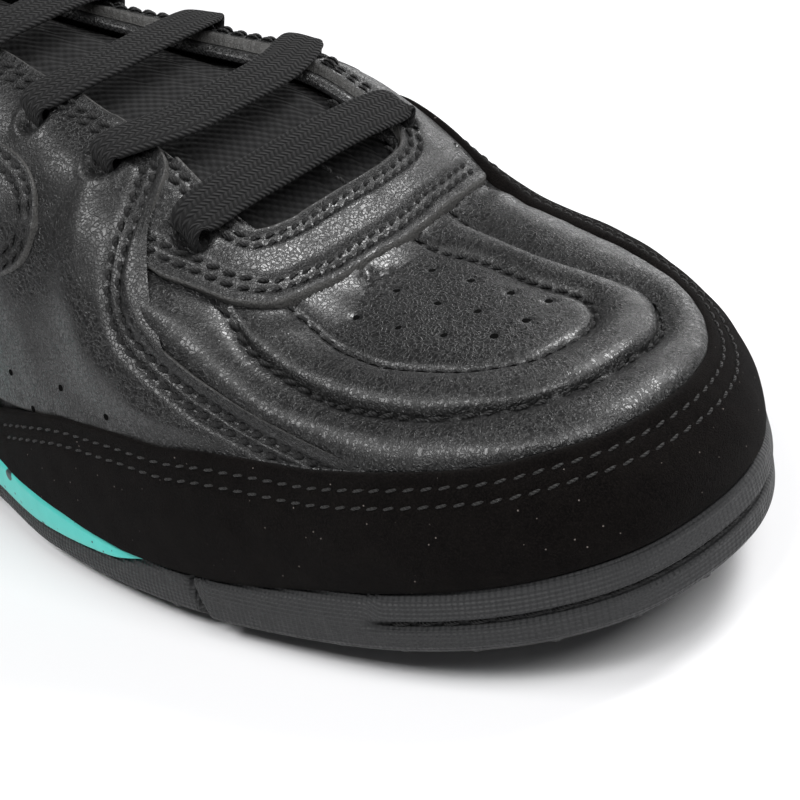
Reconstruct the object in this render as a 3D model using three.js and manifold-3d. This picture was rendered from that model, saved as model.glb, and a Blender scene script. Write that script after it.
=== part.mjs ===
import * as THREE from "three";
import Module from "manifold-3d";

// Turf shoe, left foot, in millimetres: +X to the toe, +Y to the wearer's left, +Z up, floor at z = 0.
// The origin lies on the floor under the middle of the heel.

// Overall sizes
const soleLength = 290;
const ballWidth = 98;
const instepHeight = 80;
const heelRest = 40;
const rimHeight = 24.5;
const nubHeight = 3;
const toeSpring = 9.2;
const archLift = 3;
const heelBulge = 2.5;
const heelLean = 32;

// Thicknesses and clearances
const gap = 0.3;
const upperWall = 2.2;
const collarPadding = 4.5;
const overlayThickness = 1.3;
const capThickness = 1.6;
const panelThickness = 1.2;
const tongueThickness = 4.5;
const insoleThickness = 4;
const rimInset = 4.4;
const bedInset = 12;
const rimOverhang = 0.9;
const collarCrown = 0.8;
const tongueGap = 1.4;
const bite = 0.8;

// Sole side: stitched groove round the toe, and the step where the toe bumper begins
const grooveDepth = 1.1;
const grooveWidth = 1.6;
const grooveHeight = 0.52;
const grooveStart = 9.9;
const bumperStart = 8.42;
const bumperStep = 0.6;

// Tread
const nubTipRadius = 2.7;
const nubRootRadius = 3.7;
const nubPitch = 19;
const nubEdgeMargin = 8;
const heelPadRadius = 10;
const ballPadRadius = 14;
const ballPadX = 138;
const treadBite = 0.8;

// Laces and eyelets
const laceWidth = 8.4;
const laceThickness = 1.5;
const laceEndWidth = 4.2;
const eyeletRadius = 2.9;
const eyeletPitch = 0.0638 * soleLength;
const firstEyeletX = 0.698 * soleLength - heelRest;
const eyeletCount = 5;
const eyeletShare = { lateral: 0.765, medial: 0.765 };

// Outline of the joint between upper and sole, a row for each station from heel to toe.
// Columns: lateral x, lateral y, medial x, medial y, as shares of soleLength and ballWidth.
const outline = [
  [0, 0, 0, 0],
  [0.017, 0.173, 0.017, -0.173],
  [0.076, 0.306, 0.076, -0.301],
  [0.159, 0.352, 0.162, -0.332],
  [0.259, 0.362, 0.266, -0.296],
  [0.362, 0.372, 0.372, -0.265],
  [0.466, 0.408, 0.476, -0.302],
  [0.562, 0.48, 0.576, -0.4],
  [0.655, 0.535, 0.676, -0.459],
  [0.745, 0.536, 0.766, -0.472],
  [0.831, 0.478, 0.862, -0.456],
  [0.91, 0.345, 0.938, -0.388],
  [0.969, 0.165, 0.986, -0.26],
  [1, -0.045, 1, -0.045],
];
const lastStation = outline.length - 1;

// Fullness of each station's section, the exponent of its rounded arch: lateral, medial.
const fullness = [
  [2, 2], [2, 2], [2, 2], [2.05, 2.05], [2.1, 2.1], [2.15, 2.15], [2.3, 2.25],
  [3.3, 2.4], [4.2, 2.6], [3.7, 2.7], [3.15, 2.7], [2.85, 2.7], [2.7, 2.7], [2.7, 2.7],
];

// Ridge of the last. Columns: share of soleLength, y share of ballWidth, z share of instepHeight.
const ridge = [
  [0, 0, 1.75],
  [0.207, 0, 1.6],
  [0.345, 0, 1.36],
  [0.414, 0, 1.21],
  [0.483, 0.015, 1.09],
  [0.569, 0, 0.97],
  [0.655, -0.025, 0.86],
  [0.717, -0.035, 0.7],
  [0.766, -0.045, 0.545],
];
const ridgeBlend = 14;

// Sole heights above the tread, without arch and toe spring. Columns: share of soleLength,
// rim under the upper, foot bed, top of the outsole under the midsole, as shares of rimHeight.
const soleProfile = [
  [0, 1, 0.76, 0.2],
  [0.2, 1, 0.74, 0.2],
  [0.345, 0.865, 0.62, 0.19],
  [0.45, 0.653, 0.45, 0.175],
  [0.552, 0.482, 0.34, 0.175],
  [0.6, 0.415, 0.32, 0.195],
  [0.65, 0.36, 0.31, 0.24],
  [0.69, 0.347, 0.3, 0.25],
  [0.75, 0.36, 0.23, 0.23],
  [0.828, 0.445, 0.2, 0.2],
  [1, 0.48, 0.2, 0.2],
];
const archCentre = 0.44;
const archReach = 0.13;
const springStart = 0.672;
const midsoleEnd = 8.2;

// Upper edge of the collar. Columns: station, height above the nubs as a share of instepHeight.
const collarHeights = [
  [0, 1.1125], [1, 1.0813], [2, 0.9625], [3, 0.8438], [3.6, 0.8313], [4.2, 0.9125], [4.7, 1.0562], [5.1, 1.175],
];
// Edge of the throat as shares of the way up each section. Columns: station, lateral, medial.
const throatEdge = [
  [5.1, 0.7, 0.7], [5.4, 0.79, 0.79], [5.8, 0.84, 0.85], [6.5, 0.855, 0.89], [7.5, 0.845, 0.905], [8.2, 0.83, 0.905],
];
const throatFront = 8.6;
const throatRound = 8.28;

// Edges of the overlays as shares of the way up each section. Columns: station, lateral, medial.
const capEdge = [
  [6.2, 0.03, 0.03], [6.6, 0.1, 0.084], [7.35, 0.22, 0.158], [7.9, 0.36, 0.19], [8.4, 0.48, 0.227],
  [8.8, 0.55, 0.285], [9.2, 0.58, 0.33], [9.6, 0.585, 0.345], [10.4, 0.55, 0.358], [10.9, 0.47, 0.362],
  [11.5, 0.395, 0.374], [12.2, 0.35, 0.368], [13, 0.36, 0.36],
];
// Raw edge of the medial quarter, in front of the throat's side and then along the vamp.
const quarterEdgeMedial = [
  [8.06, 0.62], [8.2, 0.46], [8.5, 0.455], [8.75, 0.457], [9, 0.46], [9.22, 0.453], [9.44, 0.44], [9.62, 0.42], [9.8, 0.39],
];
const quarterFrontMedial = 8.02;
const quarterFrontLateral = 7.7;
// Front edge of the band that crosses the vamp: station, lateral share, medial share.
const bandEdge = [
  [8.1, 0, 0.606], [8.25, 0, 0.622], [8.41, 0, 0.653], [8.57, 0, 0.69], [8.7, 0, 0.714], [8.85, 0, 0.78],
  [8.96, 0, 0.845], [9.06, 0, 0.925], [9.14, 0, 1], [9.22, 0, 1],
];
// Padded panel on each side of the quarter. Columns: station, lower and upper edge above the nubs
// as shares of instepHeight.
const sidePanel = [
  [3.7, 0.6125, 0.6125], [3.76, 0.5437, 0.6813], [4, 0.5, 0.7375], [4.4, 0.4938, 0.8],
  [5, 0.525, 0.8625], [5.6, 0.5625, 0.9], [6.2, 0.6, 0.9125], [6.7, 0.625, 0.8938],
  [7, 0.65, 0.8688], [7.2, 0.6937, 0.825], [7.28, 0.7562, 0.7562],
];
const heelCounterEnd = 3.3;
const heelCounterTop = 0.31;
const heelTabEnd = 0.75;
const tongueRear = 4.62;
const tongueFront = 8.95;
const tongueEdge = [[4.62, 0.66], [4.75, 0.61], [5.2, 0.6], [6.5, 0.61], [7.6, 0.66], [8.6, 0.7], [8.95, 0.78]];

// Value of a table's column at u, along a smooth curve through its rows.
function along(rows, column, u) {
  const end = rows.length - 1;
  const at = Math.min(Math.max(u, rows[0][0]), rows[end][0]);
  let i = 0;
  while (i < end - 1 && at > rows[i + 1][0]) i += 1;
  const slope = (row) => {
    const before = rows[Math.max(row - 1, 0)];
    const after = rows[Math.min(row + 1, end)];
    return (after[column] - before[column]) / (after[0] - before[0]);
  };
  const span = rows[i + 1][0] - rows[i][0];
  const t = (at - rows[i][0]) / span;
  const start = (1 + 2 * t) * (1 - t) ** 2 * rows[i][column] + t * (1 - t) ** 2 * span * slope(i);
  return start + t * t * (3 - 2 * t) * rows[i + 1][column] + t * t * (t - 1) * span * slope(i + 1);
}

// Value of a table's column at u, along straight lines between its rows.
function between(rows, column, u) {
  const end = rows.length - 1;
  const at = Math.min(Math.max(u, rows[0][0]), rows[end][0]);
  let i = 0;
  while (i < end - 1 && at > rows[i + 1][0]) i += 1;
  const t = (at - rows[i][0]) / (rows[i + 1][0] - rows[i][0]);
  return rows[i][column] * (1 - t) + rows[i + 1][column] * t;
}

// The outline as one closed loop: medial side from heel to toe, lateral side back to the heel.
const loop = [
  ...outline.slice(0, lastStation).map(([, , x, y]) => [x, y]),
  ...outline.slice(1).reverse().map(([x, y]) => [x, y]),
];

function loopPoint(t) {
  const i = Math.floor(t);
  const f = t - i;
  const [a, b, c, d] = [-1, 0, 1, 2].map((step) => loop[(i + step + loop.length) % loop.length]);
  const curve = (n) => b[n] + 0.5 * f * (c[n] - a[n]
    + f * (2 * a[n] - 5 * b[n] + 4 * c[n] - d[n] + f * (3 * b[n] - a[n] - 3 * c[n] + d[n])));
  return new THREE.Vector2(curve(0) * soleLength - heelRest, curve(1) * ballWidth);
}

// Point of the outline at a station, pushed outwards by offset. side: -1 medial, +1 lateral.
function edgePoint(station, side, offset) {
  const t = side < 0 ? station : 2 * lastStation - station;
  const tangent = loopPoint(t + 0.01).sub(loopPoint(t - 0.01)).normalize();
  const point = loopPoint(t);
  return point.add(new THREE.Vector2(tangent.y, -tangent.x).multiplyScalar(offset));
}

const share = (x) => (x + heelRest) / soleLength;
const springAt = (x) => toeSpring * Math.max(0, (share(x) - springStart) / (1 - springStart)) ** 2;

function archAt(x) {
  const reach = Math.abs(share(x) - archCentre) / archReach;
  return reach < 1 ? archLift * Math.cos(reach * Math.PI / 2) ** 2 : 0;
}

const bottomZ = (x) => nubHeight + archAt(x) + springAt(x);
const rimZ = (x) => nubHeight + springAt(x) + rimHeight * along(soleProfile, 1, share(x));
const bedZ = (x) => nubHeight + springAt(x) + rimHeight * along(soleProfile, 2, share(x));
const splitZ = (x) => bottomZ(x) + rimHeight * along(soleProfile, 3, share(x));

// Top of the last over a station: it follows the middle of the section and stops at both ends.
function ridgePoint(station) {
  const middle = (edgePoint(station, 1, 0).x + edgePoint(station, -1, 0).x) / 2;
  const front = ridge[ridge.length - 1][0] * soleLength - heelRest;
  const back = heelLean - heelRest;
  let x = Math.min(middle, front);
  if (middle > front - ridgeBlend && middle < front + ridgeBlend) {
    x = front - (front + ridgeBlend - middle) ** 2 / (4 * ridgeBlend);
  }
  if (middle < back + heelLean) {
    x = back + (middle + heelRest) ** 2 / (8 * heelLean);
  }
  const y = along(ridge, 1, share(x)) * ballWidth;
  const z = nubHeight + along(ridge, 2, share(x)) * instepHeight;
  return new THREE.Vector3(x, y, z);
}

// Point of the last's skin: up = 0 at the joint with the sole and 1 on the ridge.
function skin(station, side, up, offset) {
  const exponent = 2 / between(fullness.map((row, i) => [i, ...row]), side > 0 ? 1 : 2, station);
  const angle = up * Math.PI / 2;
  const inward = 1 - Math.max(Math.cos(angle), 0) ** exponent;
  const rise = Math.sin(angle) ** exponent;
  const bulge = heelBulge * Math.max(0, 1 - station / 4) * Math.max(0, Math.sin(up * Math.PI / 0.42));
  const foot = edgePoint(station, side, offset + bulge * (up < 0.42 ? 1 : 0));
  const top = ridgePoint(station);
  if (up >= 1) return top.setZ(top.z + offset);
  const base = rimZ(edgePoint(station, side, 0).x);
  return new THREE.Vector3(
    foot.x + (top.x - foot.x) * inward,
    foot.y + (top.y - foot.y) * inward,
    base + (top.z + offset - base) * rise,
  );
}

// Height above the floor for a share of instepHeight above the nubs.
const heightOf = (part) => nubHeight + instepHeight * part;

// How far up a section lies at a given height above the floor.
function upAt(station, side, height) {
  const exponent = 2 / between(fullness.map((row, i) => [i, ...row]), side > 0 ? 1 : 2, station);
  const base = rimZ(edgePoint(station, side, 0).x);
  const rise = (height - base) / (ridgePoint(station).z - base);
  return Math.asin(rise ** (1 / exponent)) * 2 / Math.PI;
}

// Upper edge of the shoe: the collar, the throat's side, its rounded front and then the closed vamp.
function topEdge(station, side) {
  const column = side > 0 ? 1 : 2;
  const collarEnd = throatEdge[0][0];
  if (station <= collarEnd) return upAt(station, side, heightOf(along(collarHeights, 1, station)));
  if (station >= throatFront) return 1;
  const edge = along(throatEdge, column, station);
  if (station <= throatRound) return edge;
  const t = (station - throatRound) / (throatFront - throatRound);
  return edge + (1 - edge) * (1 - Math.sqrt(1 - t ** 3));
}

// Closed solid from triangles whose equal corners are joined.
function solidGeometry(triangles) {
  const positions = [];
  const index = [];
  const known = new Map();
  const corner = (point) => {
    const key = [point.x, point.y, point.z].map((value) => Math.round(value * 2000)).join();
    if (!known.has(key)) {
      known.set(key, positions.length / 3);
      positions.push(point.x, point.y, point.z);
    }
    return known.get(key);
  };
  for (const triangle of triangles) {
    const [a, b, c] = triangle.map(corner);
    if (a !== b && b !== c && c !== a) index.push(a, b, c);
  }
  const geometry = new THREE.BufferGeometry();
  geometry.setAttribute("position", new THREE.Float32BufferAttribute(positions, 3));
  geometry.setIndex(index);
  geometry.computeVertexNormals();
  return geometry;
}

function addQuad(triangles, a, b, c, d) {
  triangles.push([a, b, c], [a, c, d]);
}

// Shell between two offsets of the skin. Each side runs over its stations from low to high.
// crown lifts the middle of an open upper edge; the halves join where they meet.
function shell(parts) {
  const triangles = [];
  for (const part of parts) {
    const { side, stations, low, high, outer, inner, rows, crown = 0 } = part;
    const grid = stations.map((station) => {
      const bottom = low(station);
      const top = high(station);
      const column = [];
      for (let row = 0; row <= rows; row += 1) {
        const up = bottom + (top - bottom) * row / rows;
        column.push([skin(station, side, up, outer(station, up)), skin(station, side, up, inner(station, up))]);
      }
      const [outside, inside] = column[rows];
      const middle = outside.clone().lerp(inside, 0.5);
      if (top < 1) middle.z += crown;
      column.push([middle, middle]);
      return { column, open: top < 1, width: top - bottom };
    });
    const face = (a, b, c, d) => (side < 0 ? addQuad(triangles, a, b, c, d) : addQuad(triangles, d, c, b, a));
    for (let i = 0; i < grid.length - 1; i += 1) {
      const here = grid[i];
      const next = grid[i + 1];
      for (let row = 0; row < rows; row += 1) {
        const [a, b] = [here.column[row], next.column[row]];
        const [c, d] = [next.column[row + 1], here.column[row + 1]];
        face(a[0], b[0], c[0], d[0]);
        face(d[1], c[1], b[1], a[1]);
      }
      face(here.column[0][1], next.column[0][1], next.column[0][0], here.column[0][0]);
      if (here.open || next.open) {
        const [a, b] = [here.column[rows], next.column[rows]];
        const [c, d] = [next.column[rows + 1][0], here.column[rows + 1][0]];
        if (crown > 0) {
          face(a[0], b[0], c, d);
          face(d, c, b[1], a[1]);
        } else {
          face(a[0], b[0], b[1], a[1]);
        }
      }
    }
    const endWall = (end, flip) => {
      for (let row = 0; row < rows; row += 1) {
        const [a, b] = [end.column[row], end.column[row + 1]];
        if (flip) face(a[1], a[0], b[0], b[1]);
        else face(b[1], b[0], a[0], a[1]);
      }
      if (crown > 0 && end.open) {
        const top = end.column[rows];
        const tip = end.column[rows + 1][0];
        if (flip) triangles.push(side < 0 ? [top[1], top[0], tip] : [tip, top[0], top[1]]);
        else triangles.push(side < 0 ? [tip, top[0], top[1]] : [top[1], top[0], tip]);
      }
    };
    if (part.closeStart) endWall(grid[0], true);
    if (part.closeEnd) endWall(grid[grid.length - 1], false);
  }
  return solidGeometry(triangles);
}

function steps(from, to, count) {
  return Array.from({ length: count + 1 }, (unused, i) => from + (to - from) * i / count);
}

const sides = [-1, 1];

// Rings round the outline from the outer bottom to the inner top, closed across both sides.
function ringSolid(stations, rings, closeEnd) {
  const triangles = [];
  const grid = sides.map((side) => stations.map((station) => rings.map((ring) => {
    const [offset, z] = ring(station, side);
    const point = edgePoint(station, side, offset);
    return new THREE.Vector3(point.x, point.y, z);
  })));
  const across = (ring, upward) => {
    for (let i = 0; i < stations.length - 1; i += 1) {
      const corners = [grid[0][i][ring], grid[0][i + 1][ring], grid[1][i + 1][ring], grid[1][i][ring]];
      if (upward) addQuad(triangles, ...corners);
      else addQuad(triangles, ...corners.reverse());
    }
  };
  sides.forEach((side, half) => {
    for (let i = 0; i < stations.length - 1; i += 1) {
      for (let r = 0; r < rings.length - 1; r += 1) {
        const corners = [grid[half][i][r], grid[half][i + 1][r], grid[half][i + 1][r + 1], grid[half][i][r + 1]];
        if (side > 0) corners.reverse();
        addQuad(triangles, ...corners);
      }
    }
  });
  if (closeEnd) {
    const end = stations.length - 1;
    for (let r = 0; r < rings.length - 1; r += 1) {
      const [medial, lateral] = [grid[0][end], grid[1][end]];
      addQuad(triangles, medial[r], lateral[r], lateral[r + 1], medial[r + 1]);
    }
  }
  across(0, false);
  across(rings.length - 1, true);
  return solidGeometry(triangles);
}

const wasm = await Module();
wasm.setup();

function toManifold(geometry) {
  const { position } = geometry.attributes;
  const plain = [];
  for (let i = 0; i < position.count; i += 1) {
    plain.push(position.getX(i), position.getY(i), position.getZ(i));
  }
  const mesh = new wasm.Mesh({
    numProp: 3,
    vertProperties: new Float32Array(plain),
    triVerts: new Uint32Array(geometry.index.array),
  });
  return new wasm.Manifold(mesh);
}

function fromManifold(solid) {
  const mesh = solid.getMesh();
  const geometry = new THREE.BufferGeometry();
  geometry.setAttribute("position", new THREE.Float32BufferAttribute(mesh.vertProperties, 3));
  geometry.setIndex([...mesh.triVerts]);
  geometry.computeVertexNormals();
  return geometry;
}

// A three.js solid whose doubled corners are joined, placed by a matrix.
function joined(geometry, matrix) {
  const flat = geometry.index ? geometry.toNonIndexed() : geometry;
  flat.applyMatrix4(matrix);
  const { position } = flat.attributes;
  const triangles = [];
  for (let i = 0; i < position.count; i += 3) {
    triangles.push([0, 1, 2].map((n) => new THREE.Vector3().fromBufferAttribute(position, i + n)));
  }
  return solidGeometry(triangles);
}

// Nub or pad under the sole: its foot lies nubHeight below the sole's bottom.
function treadNub(x, y, tipRadius, rootRadius, segments) {
  const height = nubHeight + treadBite;
  const cone = new THREE.CylinderGeometry(rootRadius, tipRadius, height, segments);
  const base = bottomZ(x) - nubHeight;
  const matrix = new THREE.Matrix4().makeRotationX(Math.PI / 2);
  matrix.setPosition(x, y, base + height / 2);
  return toManifold(joined(cone, matrix));
}

// Half width of the outline at x on one side.
function halfWidth(x, side) {
  let low = 0;
  let high = lastStation;
  for (let i = 0; i < 30; i += 1) {
    const middle = (low + high) / 2;
    if (edgePoint(middle, side, 0).x < x) low = middle;
    else high = middle;
  }
  return Math.abs(edgePoint(low, side, 0).y);
}

// Nubs in staggered rows over heel and forefoot, clear of the arch and the two flat pads.
function treadNubs() {
  const nubs = [
    treadNub(0, 0, heelPadRadius, heelPadRadius + 1, 20),
    treadNub(ballPadX, 0, ballPadRadius, ballPadRadius + 1, 24),
  ];
  const rowPitch = nubPitch * 0.87;
  const firstX = 9 - heelRest;
  const lastX = soleLength - heelRest - nubEdgeMargin;
  for (let row = 0; firstX + row * rowPitch < lastX; row += 1) {
    const x = firstX + row * rowPitch;
    if (archAt(x) > 0.2 * archLift) continue;
    for (let place = -4; place <= 4; place += 1) {
      const y = (place + (row % 2) / 2) * nubPitch;
      const side = y < 0 ? -1 : 1;
      const fits = Math.abs(y) < halfWidth(x, side) - nubEdgeMargin;
      const clearOfHeelPad = Math.hypot(x, y) > heelPadRadius + nubRootRadius + 2;
      const clearOfBallPad = Math.hypot(x - ballPadX, y) > ballPadRadius + nubRootRadius + 2;
      if (fits && clearOfHeelPad && clearOfBallPad) nubs.push(treadNub(x, y, nubTipRadius, nubRootRadius, 6));
    }
  }
  return nubs;
}

// The outsole rises from under the midsole to the upper just in front of the midsole's end.
const riseStart = midsoleEnd + 0.02;
const riseEnd = midsoleEnd + 0.05;
const rearStations = [...steps(0, 1.8, 6), 2.3, ...steps(3, 8, 7)];
const soleStations = [
  ...rearStations, riseStart, riseEnd, bumperStart, bumperStart + 0.07, ...steps(8.75, lastStation, 12),
];

// The outsole's side: the groove and the bumper's step fade in along the stations.
function outsole() {
  const topZ = (station, x) => (station >= riseEnd ? rimZ(x) - gap : splitZ(x));
  const floorZ = (station, x) => (station >= riseEnd ? Math.min(bedZ(x), rimZ(x) - gap) : splitZ(x));
  const step = (station) => (station < bumperStart ? bumperStep : 0);
  const groove = (station) => grooveDepth * Math.min(Math.max((station - grooveStart) / 0.3, 0), 1);
  const side = (offset, part, shift = 0) => (station, hand) => {
    const { x } = edgePoint(station, hand, 0);
    const height = topZ(station, x) - bottomZ(x);
    return [offset(station), bottomZ(x) + height * part + shift * Math.min(1, height / 10)];
  };
  const inside = (inset, height, from) => (station, hand) => {
    const { x } = edgePoint(station, hand, -from);
    return [-inset, height(station, x)];
  };
  const wall = (station) => rimOverhang + 0.5 - step(station);
  const rings = [
    inside(bedInset, (station, x) => bottomZ(x), bedInset),
    side((station) => wall(station) - 1.6, 0),
    side((station) => wall(station) - 0.3, 0.12),
    side(wall, grooveHeight, -grooveWidth / 2),
    side((station) => wall(station) - groove(station), grooveHeight),
    side(wall, grooveHeight, grooveWidth / 2),
    side((station) => rimOverhang - step(station), 0.9),
    side((station) => rimOverhang - 0.6 - step(station), 1),
    inside(rimInset, topZ, 0),
    inside(rimInset, floorZ, 0),
    inside(bedInset, floorZ, bedInset),
  ];
  const body = toManifold(ringSolid(soleStations, rings, false));
  return fromManifold(treadNubs().reduce((whole, nub) => whole.add(nub), body));
}

// The midsole: a wedge on the outsole, with a rim for the upper and a bed for the insole.
function midsole() {
  const low = (x) => splitZ(x) + gap;
  const high = (x) => rimZ(x) - gap;
  const at = (offset, height, from = 0) => (station, hand) => [offset, height(edgePoint(station, hand, from).x)];
  const part = (amount) => (x) => low(x) + (high(x) - low(x)) * amount;
  const rings = [
    at(-bedInset, low, -bedInset),
    at(-rimInset, low),
    at(rimOverhang - 0.4, low),
    at(rimOverhang + 0.3, part(0.25)),
    at(rimOverhang, part(0.85)),
    at(rimOverhang - 0.6, high),
    at(-rimInset, high),
    at(-rimInset, bedZ),
    at(-bedInset, bedZ, -bedInset),
  ];
  return ringSolid([...rearStations, midsoleEnd], rings, true);
}

function insole() {
  const at = (inset, lift, from) => (station, hand) => [-inset, bedZ(edgePoint(station, hand, -from).x) + lift];
  const inset = rimInset + gap;
  const rings = [
    at(bedInset, gap, bedInset),
    at(inset, gap, 0),
    at(inset, gap + insoleThickness * 0.6, 0),
    at(bedInset, gap + insoleThickness, bedInset),
  ];
  return ringSolid(steps(0, lastStation, 26), rings, false);
}

const overlayFace = -overlayThickness - gap;
const upperFace = (offset = 0) => () => overlayFace + offset;

// The collar's padding swells the wall towards the top edge and fades out along the lacing.
function wallAt(station, up) {
  const along01 = Math.min(Math.max((4.6 - station) / 0.8, 0), 1);
  const height01 = Math.min(Math.max((up - 0.16) / 0.16, 0), 1);
  return upperWall + collarPadding * along01 * height01 * (3 - 2 * height01) * height01;
}

const upperStations = [
  ...steps(0, 5.1, 11), 5.25, ...steps(5.4, 8.28, 6), 8.42, 8.51, 8.57, 8.6, ...steps(8.8, lastStation, 12),
];

const upperRows = 5;

function upper() {
  const halves = sides.map((side) => ({
    side,
    stations: upperStations,
    low: () => 0,
    high: (station) => topEdge(station, side),
    outer: upperFace(),
    inner: (station, up) => overlayFace - wallAt(station, up),
    rows: upperRows,
    crown: collarCrown,
  }));
  return eyelets(toManifold(shell(halves)));
}

// The whole last inside one offset, in the upper's own facets, with a skirt below the joint.
function lastForm(offset) {
  const triangles = [];
  const skirt = 6;
  const [medial, lateral] = sides.map((side) => upperStations.map((station) => {
    const top = topEdge(station, side);
    const ups = [...steps(0, top, upperRows), ...steps(top, 1, 2).slice(1)];
    const column = ups.map((up) => skin(station, side, up, offset));
    return [column[0].clone().setZ(column[0].z - skirt), ...column];
  }));
  for (let i = 0; i < upperStations.length - 1; i += 1) {
    addQuad(triangles, medial[i + 1][0], medial[i][0], lateral[i][0], lateral[i + 1][0]);
    for (let row = 0; row < medial[i].length - 1; row += 1) {
      addQuad(triangles, medial[i][row], medial[i + 1][row], medial[i + 1][row + 1], medial[i][row + 1]);
      addQuad(triangles, lateral[i][row + 1], lateral[i + 1][row + 1], lateral[i + 1][row], lateral[i][row]);
    }
  }
  return toManifold(solidGeometry(triangles));
}

// Cuts an overlay free of the upper, a gap above its face.
const clearForm = lastForm(overlayFace + gap);

function overlay(geometry) {
  return toManifold(geometry).subtract(clearForm);
}

// Station at which the section through the ridge lies at x.
function stationAt(x) {
  let low = 0;
  let high = lastStation;
  for (let i = 0; i < 30; i += 1) {
    const middle = (low + high) / 2;
    if ((edgePoint(middle, 1, 0).x + edgePoint(middle, -1, 0).x) / 2 < x) low = middle;
    else high = middle;
  }
  return low;
}

const eyeletStations = steps(0, eyeletCount - 1, eyeletCount - 1)
  .map((place) => stationAt(firstEyeletX - place * eyeletPitch));
const eyeletUp = (side) => (side > 0 ? eyeletShare.lateral : eyeletShare.medial);

// Round holes for the laces, square to the skin.
function eyelets(solid) {
  let pierced = solid;
  for (const station of eyeletStations) {
    for (const side of sides) {
      const outside = skin(station, side, eyeletUp(side), 6);
      const inside = skin(station, side, eyeletUp(side), -9);
      const drill = new THREE.CylinderGeometry(eyeletRadius, eyeletRadius, outside.distanceTo(inside), 8);
      const turn = new THREE.Quaternion().setFromUnitVectors(
        new THREE.Vector3(0, 1, 0),
        outside.clone().sub(inside).normalize(),
      );
      const middle = outside.clone().lerp(inside, 0.5);
      const matrix = new THREE.Matrix4().compose(middle, turn, new THREE.Vector3(1, 1, 1));
      pierced = pierced.subtract(toManifold(joined(drill, matrix)));
    }
  }
  return fromManifold(pierced);
}

const seam = 0.006;
const capStart = capEdge[0][0];
const capAt = (station, side) => along(capEdge, side > 0 ? 1 : 2, station);
const rawEdgeStations = quarterEdgeMedial.map(([station]) => station);
const capStations = [
  ...steps(capStart, quarterFrontLateral, 5), quarterFrontMedial, ...rawEdgeStations, ...steps(10.1, lastStation, 9),
];

function toeCap() {
  const halves = sides.map((side) => ({
    side,
    stations: capStations,
    low: () => 0,
    high: (station) => capAt(station, side),
    outer: () => overlayFace + gap + capThickness,
    inner: () => overlayFace - bite,
    rows: 3,
    closeStart: true,
  }));
  return fromManifold(overlay(shell(halves)));
}

const aboveCap = (station, side) => (station < capStart ? 0 : capAt(station, side) + seam);
const aboveCounter = (station, side) => {
  const edge = station < heelCounterEnd + 0.01 ? upAt(station, side, counterHeight(station)) + seam : 0;
  return Math.max(edge, aboveCap(station, side));
};
const counterHeight = (station) => nubHeight + rimHeight
  + instepHeight * (heelCounterTop + 0.12 * Math.cos(Math.PI * Math.min(station / heelCounterEnd, 1)) - 0.12);

// Side panels of the upper, from the heel counter to the raw edge over the vamp.
function quarterShell(side, face) {
  const front = side > 0 ? quarterFrontLateral : quarterFrontMedial;
  const high = (station) => {
    if (station <= front) return topEdge(station, side) - seam * 2;
    return between(quarterEdgeMedial, 1, station);
  };
  const tail = side > 0 ? [] : [quarterFrontMedial, ...rawEdgeStations];
  const parts = [{
    side,
    stations: [...steps(heelTabEnd + 0.04, heelCounterEnd, 6), heelCounterEnd + 0.04,
      ...steps(3.7, 5.1, 4), 5.4, 5.8, capStart - 0.03, ...steps(capStart, quarterFrontLateral, 5), ...tail],
    low: (station) => aboveCounter(station, side),
    high,
    outer: () => face,
    inner: () => overlayFace - bite,
    rows: 5,
    closeStart: true,
    closeEnd: true,
  }];
  return shell(parts);
}

function quarter(side) {
  return eyelets(overlay(quarterShell(side, 0)));
}

// Stitched band across the vamp in front of the throat, under the raw edge of the quarters.
function vampBand() {
  const lastRow = bandEdge[bandEdge.length - 1][0];
  const medialStations = [quarterFrontMedial + 0.06, 8.13, 8.2, 8.28, 8.42, 8.51, 8.57, 8.6, 8.7, 8.8, 8.9, 8.98,
    9.06, 9.14, lastRow];
  const lateralStations = [quarterFrontLateral + 0.04, 7.86, 8, 8.15, ...medialStations.slice(3)];
  const parts = [
    {
      side: -1,
      stations: medialStations,
      low: (station) => Math.min(between(bandEdge, 2, station), 1),
    },
    {
      side: 1,
      stations: lateralStations,
      low: (station) => capAt(station, 1) + seam,
    },
  ].map((part) => ({
    ...part,
    high: (station) => (station >= throatFront ? 1 : topEdge(station, part.side) - seam * 2),
    outer: () => 0,
    inner: () => overlayFace - bite,
    rows: 4,
    closeStart: true,
    closeEnd: true,
  }));
  return eyelets(overlay(shell(parts)));
}

// Patch round the back of the heel, and the upright strip over it.
function heelCounter() {
  const halves = sides.map((side) => ({
    side,
    stations: steps(0, heelCounterEnd, 9),
    low: () => 0,
    high: (station) => upAt(station, side, counterHeight(station)),
    outer: () => overlayFace + gap + capThickness,
    inner: () => overlayFace - bite,
    rows: 3,
    closeEnd: true,
  }));
  return fromManifold(overlay(shell(halves)));
}

function heelTab() {
  const halves = sides.map((side) => ({
    side,
    stations: steps(0, heelTabEnd, 4),
    low: (station) => upAt(station, side, counterHeight(station)) + seam,
    high: (station) => topEdge(station, side) - seam * 2,
    outer: () => overlayFace + gap + capThickness,
    inner: () => overlayFace - bite,
    rows: 4,
    closeEnd: true,
  }));
  return fromManifold(overlay(shell(halves)));
}

// Padded panel with a rounded front on the quarter's side.
function sidePanelPatch(side) {
  const parts = [{
    side,
    stations: sidePanel.map(([station]) => station),
    low: (station) => upAt(station, side, heightOf(between(sidePanel, 1, station))),
    high: (station) => upAt(station, side, heightOf(between(sidePanel, 2, station))),
    outer: () => gap + panelThickness,
    inner: () => -bite,
    rows: 4,
  }];
  return fromManifold(toManifold(shell(parts)).subtract(toManifold(quarterShell(side, gap))));
}

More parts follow.
